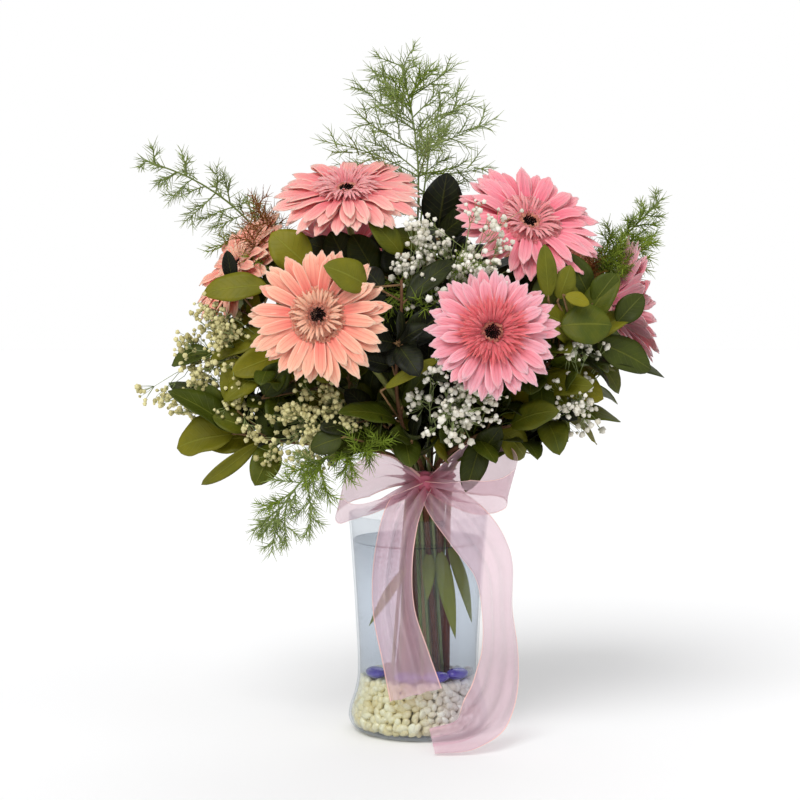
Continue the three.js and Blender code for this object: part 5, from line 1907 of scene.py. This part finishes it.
@dataclass
class Frond:
    """A frond of asparagus fern: side twigs with fine needles all round them."""

    name: str
    place: Pair
    way: list
    bare: float
    reach: float
    twigs: int
    seed: int = 1
    more: Sequence = ()
    needle: float = 10.0
    spacing: float = 0.95
    WIDE = 0.72

    def twig(self, mesh: Mesh, kind: Shape, root: Points, tip: Points, level: int, finish: int = 0) -> None:
        """Adds a twig, its needles and its own side twigs.

        Args:
            mesh: The frond's mesh.
            kind: The needle's shape.
            root: The twig's root.
            tip: Its tip.
            level: How many more times it branches.
            finish: 0 where it is green, 1 where it is dry and 2 where it is fresh.
        """
        draw = self.draw
        reach = tip - root
        length = np.linalg.norm(reach)
        axis = reach / length
        sag = unit(np.cross(axis, draw.normal(size=3))) * length * 0.06
        line = rounded(np.array([root, root + reach * 0.35 + sag, root + reach * 0.7 + sag * 0.8, tip]), 1)
        mesh.add(tube(line, np.linspace(0.6, 0.25, len(line)), 4), None, draw.uniform(0.2, 0.5), finish)
        marks = np.linspace(0, 1, len(line))
        count = max(6, int(length / self.spacing))
        first = draw.uniform(0, 6)
        for i in range(count):
            share = 0.1 + 0.9 * (i + 0.5) / count
            base = np.array([np.interp(share, marks, line[:, k]) for k in range(3)])
            lean = math.radians(draw.uniform(32, 62)) * (1.15 - 0.5 * share)
            aim = leaned(axis, lean, first + i * GOLDEN)
            long = min(self.needle, 0.55 * length + 3) * draw.uniform(0.7, 1.15) * (1.1 - 0.35 * share)
            side = unit(np.cross(aim, vec(0.3, 0.5, 0.8)))
            other = np.cross(aim, side)
            x, y, z = kind.points.T
            points = base + (x * long)[:, None] * aim + self.WIDE * (y[:, None] * side + z[:, None] * other)
            mesh.add(kind, points, draw.uniform(0.25, 1.0), finish)
        if level:
            twigs = max(2, int(length / 9))
            for i in range(twigs):
                share = 0.25 + 0.6 * (i + draw.uniform(0.2, 0.8)) / twigs
                aim = leaned(axis, math.radians(48), first + 2.4 * i + 1)
                start = root + reach * share
                end = start + aim * min(20, length * 0.42) * (1.1 - 0.5 * share)
                self.twig(mesh, kind, start, end, level - 1, finish)

    def build(self, needle: Shape, finishes: Finishes) -> None:
        """Makes the frond.

        Args:
            needle: The needle's shape.
            finishes: The materials of its green, its dry and its fresh needles.
        """
        self.draw = np.random.default_rng(self.seed)
        packed, found = Packed(self.name), 0
        mesh = Mesh(f"{self.name}_needles", "fern", (self.name,), finishes)
        runs = Runs.of(self.place, self.way, 7)
        line = runs.stem(self.place)
        mesh.add(tube(line, np.linspace(1.3, 0.55, len(line)), 8), None, 0.35)
        for i in range(self.twigs):
            share = (i + 0.5) / self.twigs
            at = self.bare + (1 - self.bare) * share
            root = runs.at(at)
            aim = leaned(runs.tangent(at), TWIG_LEAN, i * GOLDEN)
            straight = root + aim * self.reach * (1 - 0.65 * share)
            tip = packed.find(root, straight, within=1.2)
            if tip is not None:
                found += 1
                self.twig(mesh, needle, root, tip, 1)
            between = min(0.995, at + 0.5 * (1 - self.bare) / self.twigs)
            root = runs.at(between)
            aim = leaned(runs.tangent(between), TWIG_LEAN, (i + 0.5) * GOLDEN + math.pi)
            self.twig(mesh, needle, root, root + aim * self.reach * 0.72 * (1 - 0.6 * share), 1)
        for at, end, *finish in self.more:
            self.twig(mesh, needle, runs.at(at), vec(*end), 1, *finish)
        end = runs.at(0.94)
        self.twig(mesh, needle, end, runs.at(1.0) + runs.tangent(0.99) * 4, 0)
        LOG.info("%s: %d of %d twigs found", self.name, found, self.twigs)
        mesh.made(smooth=False)


# A row of more twigs is where along the stem it grows, its end, and 1 where it is dry or 2 where it is fresh.
FRONDS = [
    Frond("fern_top", (INNER, 274), [(2, -12, 260), (-3, 12, 340), (2, 16, 400), (-12, 14, 474)], 0.72, 66,
        9, 41, ((0.74, (-70, 14, 420)), (0.74, (-42, 4, 398)), (0.75, (52, 20, 402)), (0.8, (56, 10, 436)),
        (0.84, (40, 22, 452)), (0.86, (-46, 8, 462)), (0.9, (-34, 18, 472)), (0.92, (28, 12, 474)),
        (0.7, (34, 30, 392)), (0.72, (-58, 26, 404)), (0.5, (3, -92, 302), 2), (0.52, (39, -80, 331), 2),
        (0.54, (-24, -72, 296), 2), (0.54, (-14, -26, 344)), (0.88, (-26, 12, 462), 2),
        (0.88, (-16, 8, 470), 2), (0.9, (2, 8, 472), 2), (0.92, (10, 10, 474), 2), (0.9, (-20, 20, 466), 2),
        (0.74, (22, 6, 398), 2)), 12.0, 1.7),
    Frond("fern_left", (OUTER, 165), [(-40, 12, 236), (-100, 42, 338), (-146, 36, 386), (-194, 12, 406)],
        0.64, 36, 7, 42, ((0.66, (-136, 26, 345)), (0.7, (-118, 30, 368)), (0.74, (-150, 30, 358)),
        (0.78, (-140, 24, 398)), (0.82, (-168, 22, 362)), (0.88, (-178, 14, 376)), (0.92, (-188, 20, 390)),
        (0.9, (-170, 28, 414)), (0.62, (-124, 20, 330), 2), (0.6, (-108, -30, 368), 1),
        (0.6, (-98, -30, 352), 1), (0.62, (-116, -24, 380), 1), (0.62, (-120, -34, 352), 1),
        (0.6, (-104, -34, 338), 1), (0.6, (-112, -38, 334), 2), (0.66, (-150, 24, 344), 2)), 11.0, 1.1),
    Frond("fern_right", (OUTER, 12), [(54, 8, 230), (104, 32, 300), (140, 22, 344), (170, 2, 376)], 0.7, 30,
        6, 43, ((0.72, (148, 14, 334), 2), (0.78, (138, 4, 356), 2), (0.8, (158, 10, 344), 2),
        (0.84, (152, 0, 366), 2), (0.9, (170, 6, 360), 2), (0.74, (132, 12, 344), 2), (0.7, (140, 24, 322)),
        (0.84, (164, -4, 350), 2), (0.9, (160, 0, 372), 2), (0.7, (120, -20, 330), 1),
        (0.68, (100, -30, 332), 1), (0.7, (112, -34, 322), 1), (0.66, (124, -10, 314)),
        (0.76, (146, -6, 346), 2), (0.7, (150, -16, 332), 2), (0.74, (162, -14, 338), 2),
        (0.7, (142, -18, 324), 2), (0.8, (168, -10, 348), 2), (0.68, (154, -18, 322)),
        (0.74, (140, -16, 340), 2)), 10.0, 0.75),
    Frond("fern_low_left", (OUTER, 228), [(-20, -35, 206), (-54, -66, 210), (-82, -74, 184),
        (-104, -72, 152)], 0.6, 26, 6, 44, ((0.62, (-76, -84, 186), 2), (0.66, (-60, -74, 172), 2),
        (0.74, (-74, -74, 150)), (0.8, (-108, -76, 166), 2), (0.84, (-90, -70, 142)),
        (0.88, (-112, -70, 152)), (0.56, (-42, -78, 190), 2), (0.6, (-88, -80, 192), 2),
        (0.9, (-100, -72, 138)), (0.45, (-34, -80, 206), 2), (0.4, (-24, -80, 214), 2),
        (0.5, (-58, -84, 200), 2), (0.5, (-50, -76, 186), 2), (0.35, (-44, -84, 210), 2)), 12.0, 0.72),
    Frond("fern_back", (INNER, 94), [(6, 24, 260), (0, 52, 330), (4, 66, 380), (10, 76, 424)], 0.7, 40, 5,
        45),
]


@dataclass
class Spray:
    """A spray of gypsophila: thread-thin forked stalks with ruffled white florets.

    Its flowers fill an egg-shaped crown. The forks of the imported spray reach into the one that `solid`
    gives with its middle and radii, where that is another.
    """

    name: str
    place: Pair
    way: list
    crown: Triple
    radii: Triple
    florets: int = 90
    seed: int = 1
    clumps: Sequence = ()
    white: bool = False
    solid: Sequence = ()
    clear: float = 0.0024

    def floret(self, mesh: Mesh, kind: Shape, place: Points, radius: float) -> None:
        """Adds a floret turned a random way."""
        points = (kind.points * radius) @ random_turn(self.draw).T + place
        mesh.add(kind, points, self.draw.uniform(), 2 if self.white else 1)

    def stalk(self, mesh: Mesh, root: Points, tip: Points, radius: float) -> None:
        """Adds a slightly bowed stalk.

        Args:
            mesh: The spray's mesh.
            root: Where it grows.
            tip: Where it ends.
            radius: Its radius at its root.
        """
        bow = self.draw.normal(size=3) * np.linalg.norm(tip - root) * 0.05
        line = np.array([root, root * 0.6 + tip * 0.4 + bow, root * 0.25 + tip * 0.75 + bow, tip])
        mesh.add(tube(line, np.linspace(radius, radius * 0.6, 4), 4), None, 0.5, 0)

    def build(self, kind: Shape, finishes: Finishes, others: BVHTree) -> None:
        """Makes the spray.

        Args:
            kind: The floret's shape.
            finishes: The materials of its stalks, its cream and its white florets.
            others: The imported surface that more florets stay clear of.
        """
        self.draw = np.random.default_rng(self.seed)
        packed = Packed(self.name)
        mesh = Mesh(f"{self.name}_florets", "gypsophila", (self.name,), finishes)
        runs = Runs.of(self.place, self.way, 4)
        line = runs.stem(self.place)
        mesh.add(tube(line, np.linspace(1.2, 0.9, len(line)), 7), None, 0.4, 0)
        crown, radii = np.array(self.solid or (self.crown, self.radii), float)
        forks, found = [], 0
        for i in range(FORKS):
            height = 1 - (2 * i + 1) / FORKS
            around = math.sqrt(1 - height * height)
            place = polar(around, i * GOLDEN, height)
            root = runs.at(0.7 + 0.28 * (i + 1) / FORKS)
            fork = packed.find(root, place * radii * 0.85 + crown, 0.9 * FLORET_RADIUS, 1.0)
            if fork is None:
                continue
            found += 1
            forks.append((root, fork))
            self.stalk(mesh, root, fork, 0.7)
            self.floret(mesh, kind, fork, 0.85 * FLORET_RADIUS)
            aim = unit(fork - root)
            for k, share in enumerate((0.6, 0.8)):
                start = root + (fork - root) * share
                end = start + leaned(aim, FLOWER_LEAN, i + k * math.pi) * FLOWER_LENGTH
                tip = packed.find(start, end, 0.9 * FLORET_RADIUS, 1.0)
                if tip is not None:
                    self.stalk(mesh, start, tip, 0.45)
                    self.floret(mesh, kind, tip, 0.85 * FLORET_RADIUS)
        self.more(mesh, kind, forks or [(runs.at(0.8), crown)], others)
        LOG.info("%s: %d of %d forks found", self.name, found, FORKS)
        mesh.made()

    def more(self, mesh: Mesh, kind: Shape, forks: list, others: BVHTree) -> None:
        """Fills the crown with more florets on stalks from the forks.

        Args:
            mesh: The spray's mesh.
            kind: The floret's shape.
            forks: The root and end of each fork.
            others: What they stay clear of.
        """
        draw = self.draw
        crown, radii = vec(*self.crown), vec(*self.radii)
        middles = [crown + unit(draw.normal(size=3)) * draw.uniform(0.2, 1.0) ** 0.4 * radii
                   for _ in range(self.florets // 5)]
        for clump in self.clumps:
            middles.extend(vec(*clump) + 5 * draw.normal(size=3) for _ in range(4))
        for middle in middles:
            root, end = min(forks, key=lambda fork: np.linalg.norm(fork[1] - middle))
            start = root + (end - root) * draw.uniform(0.4, 0.95)
            joint = middle + unit(start - middle) * draw.uniform(6, 11)
            places = [middle + draw.normal(size=3) * 3.6 for _ in range(draw.integers(5, 11))]
            places = [place for place in places if clear_of(others, place, self.clear)]
            if places:
                self.stalk(mesh, start, joint, 0.32)
            for place in places:
                self.stalk(mesh, joint, place, 0.22)
                self.floret(mesh, kind, place, draw.uniform(0.9, 2.1))


SPRAYS = [
    Spray("gypsophila_crown", (MIDDLE, 270), [(8, -29, 250), (13, -42, 290)], (14, -58, 322), (34, 22, 36),
        200, 51, ((-4, -60, 352), (4, -62, 344), (49, -74, 323), (57, -74, 352), (42, -72, 362),
        (46, -72, 336)), True, ((14, -58, 322), (38, 22, 34))),
    Spray("gypsophila_left", (OUTER, 184), [(-44, -6, 222), (-100, -12, 252)], (-142, -26, 270),
        (26, 24, 40), 240, 52, ((-167, -20, 238), (-176, -20, 244), (-160, -24, 234), (-136, -44, 292),
        (-134, -46, 280), (-142, -42, 300), (-125, -48, 240), (-119, -48, 222), (-130, -46, 250),
        (-152, -30, 250)), False, ((-142, -26, 270), (30, 24, 44))),
    Spray("gypsophila_low", (OUTER, 270), [(6, -38, 210), (10, -56, 228)], (22, -76, 238), (34, 18, 26),
        150, 53, ((10, -84, 262), (30, -84, 252)), True, ((22, -76, 238), (34, 16, 20))),
    Spray("gypsophila_low_left", (OUTER, 242), [(-13, -35, 205), (-38, -48, 222)], (-72, -58, 224),
        (30, 20, 28), 240, 54, ((-104, -50, 204), (-56, -74, 232), (-48, -76, 222)), False,
        ((-76, -54, 222), (26, 18, 28))),
    Spray("gypsophila_right", (OUTER, 350), [(48, -10, 212), (88, -16, 232)], (112, -34, 236), (20, 20, 26),
        60, 55, ((104, -60, 280), (112, -60, 274), (102, -58, 246), (104, -58, 232)), True,
        ((122, -30, 240), (22, 22, 38))),
    Spray("gypsophila_back", (MIDDLE, 60), [(20, 36, 232), (34, 74, 270)], (34, 104, 296), (46, 22, 36),
        140, 56, (), True),
]


# -------------------- stage


@dataclass
class Stage:
    """A pale floor, soft light and the camera at the photograph's angle."""

    eye: Triple = (-0.01293, -1.3966, 0.3339)
    target: Triple = (-0.01293, 0.0, 0.2362)
    lens: float = 88.74
    floor: float = 12.0
    ambient: float = 0.5
    LAMPS = (("key", (-0.4, -0.85, 0.95), 2.0, 35), ("fill", (0.9, -0.7, 0.5), 0.45, 60),
             ("rim", (0.3, 1.0, 1.2), 0.5, 50))

    def build(self) -> None:
        """Makes the floor, the light and the camera."""
        scene = bpy.context.scene
        deselect()
        bpy.ops.mesh.primitive_plane_add(size=self.floor, location=(0, 0, -0.0002))
        floor = bpy.context.object
        floor.name = "floor"
        bpy.ops.object.transform_apply(location=True)
        tree = Tree("floor")
        shade = tree.noise(tree.place(), 2.0)
        colour = tree.mix(shade, (0.965, 0.965, 0.97), (0.98, 0.98, 0.98))
        floor.data.materials.append(tree.principled({"Base Color": colour, "Roughness": 0.9}))
        world = bpy.data.worlds.new("studio")
        world.use_nodes = True
        nodes, links = world.node_tree.nodes, world.node_tree.links
        sky = nodes["Background"]
        sky.inputs["Color"].default_value = (1, 1, 1, 1)
        strength = nodes.new("ShaderNodeMapRange")
        strength.inputs["To Min"].default_value, strength.inputs["To Max"].default_value = self.ambient, 1.0
        links.new(nodes.new("ShaderNodeLightPath").outputs["Is Camera Ray"], strength.inputs["Value"])
        links.new(strength.outputs[0], sky.inputs["Strength"])
        scene.world = world
        for name, direction, strength, angle in self.LAMPS:
            lamp = bpy.data.lights.new(name, "SUN")
            lamp.energy, lamp.angle = strength, math.radians(angle)
            light = bpy.data.objects.new(name, lamp)
            light.rotation_mode = "QUATERNION"
            light.rotation_quaternion = Vector(direction).to_track_quat("Z", "Y")
            scene.collection.objects.link(light)
        camera = bpy.data.objects.new("camera", bpy.data.cameras.new("camera"))
        camera.data.lens, camera.data.sensor_width = self.lens, 36.0
        camera.location = self.eye
        camera.rotation_mode = "QUATERNION"
        camera.rotation_quaternion = (Vector(self.eye) - Vector(self.target)).to_track_quat("Z", "Y")
        camera.data.clip_start, camera.data.clip_end = 0.05, 50
        scene.collection.objects.link(camera)
        scene.camera = camera
        scene.view_settings.view_transform = "Standard"


# -------------------- the whole object


def main() -> None:
    """Builds every piece in order."""
    logging.basicConfig(level=logging.INFO, format="%(name)s: %(message)s")
    Stage().build()
    Vase().build()
    Water().build()
    PebbleBed().build()
    Nuggets().build()
    shapes = bloom_shapes()
    heart = PlainFinish("inner_florets", (0.66, 0.32, 0.28), (0.95, 0.68, 0.58), 0.7).made()
    dark = PlainFinish("bloom_eye", (0.03, 0.01, 0.01), (0.12, 0.05, 0.03), 0.9, shine=0.1).made()
    green = PlainFinish(
        "flower_stalk", (0.46, 0.50, 0.22), (0.72, 0.72, 0.44), 0.55, 200.0, lower=(0.86, 0.66, 0.50)).made()
    for gerbera in GERBERAS:
        gerbera.build_stalk(shapes, green)
        gerbera.build_bloom(shapes, heart)
        gerbera.build_eye(shapes, dark)
    blades = leaf_shapes()
    wood = PlainFinish(
        "wood", (0.32, 0.14, 0.10), (0.60, 0.50, 0.32), 0.7, 400.0, 0.0008, lower=(0.46, 0.16, 0.10)).made()
    soaked = PlainFinish("leaf_in_water", (0.42, 0.46, 0.14), (0.60, 0.62, 0.26), 0.5, 120.0).made()
    leaf = LeafFinish().made()
    room = Room(packed_surface())
    for branch in BRANCHES:
        branch.build(blades, [leaf, wood, soaked], room)
    needle = needle_shape()
    fern = PlainFinish("fern", (0.29, 0.36, 0.15), (0.60, 0.66, 0.38), 0.6, 200.0).made()
    dry = PlainFinish("dry_fern", (0.38, 0.22, 0.08), (0.62, 0.42, 0.20), 0.6, 200.0).made()
    fresh = PlainFinish("fresh_fern", (0.28, 0.36, 0.07), (0.56, 0.64, 0.20), 0.6, 200.0).made()
    for frond in FRONDS:
        frond.build(needle, [fern, dry, fresh])
    floret = floret_shape()
    others = packed_surface("gypsophila")
    thread = PlainFinish("gypsophila_stalk", (0.45, 0.52, 0.30), (0.62, 0.66, 0.44), 0.6).made()
    cream = PlainFinish("cream_floret", (0.62, 0.58, 0.34), (0.95, 0.92, 0.70), 0.8, 700.0, 0.0008).made()
    white = PlainFinish("white_floret", (0.78, 0.75, 0.66), (0.98, 0.97, 0.93), 0.8, 700.0, 0.0008).made()
    for spray in SPRAYS:
        spray.build(floret, [thread, cream, white], others)
    Bow().build()


if __name__ == "__main__":
    main()
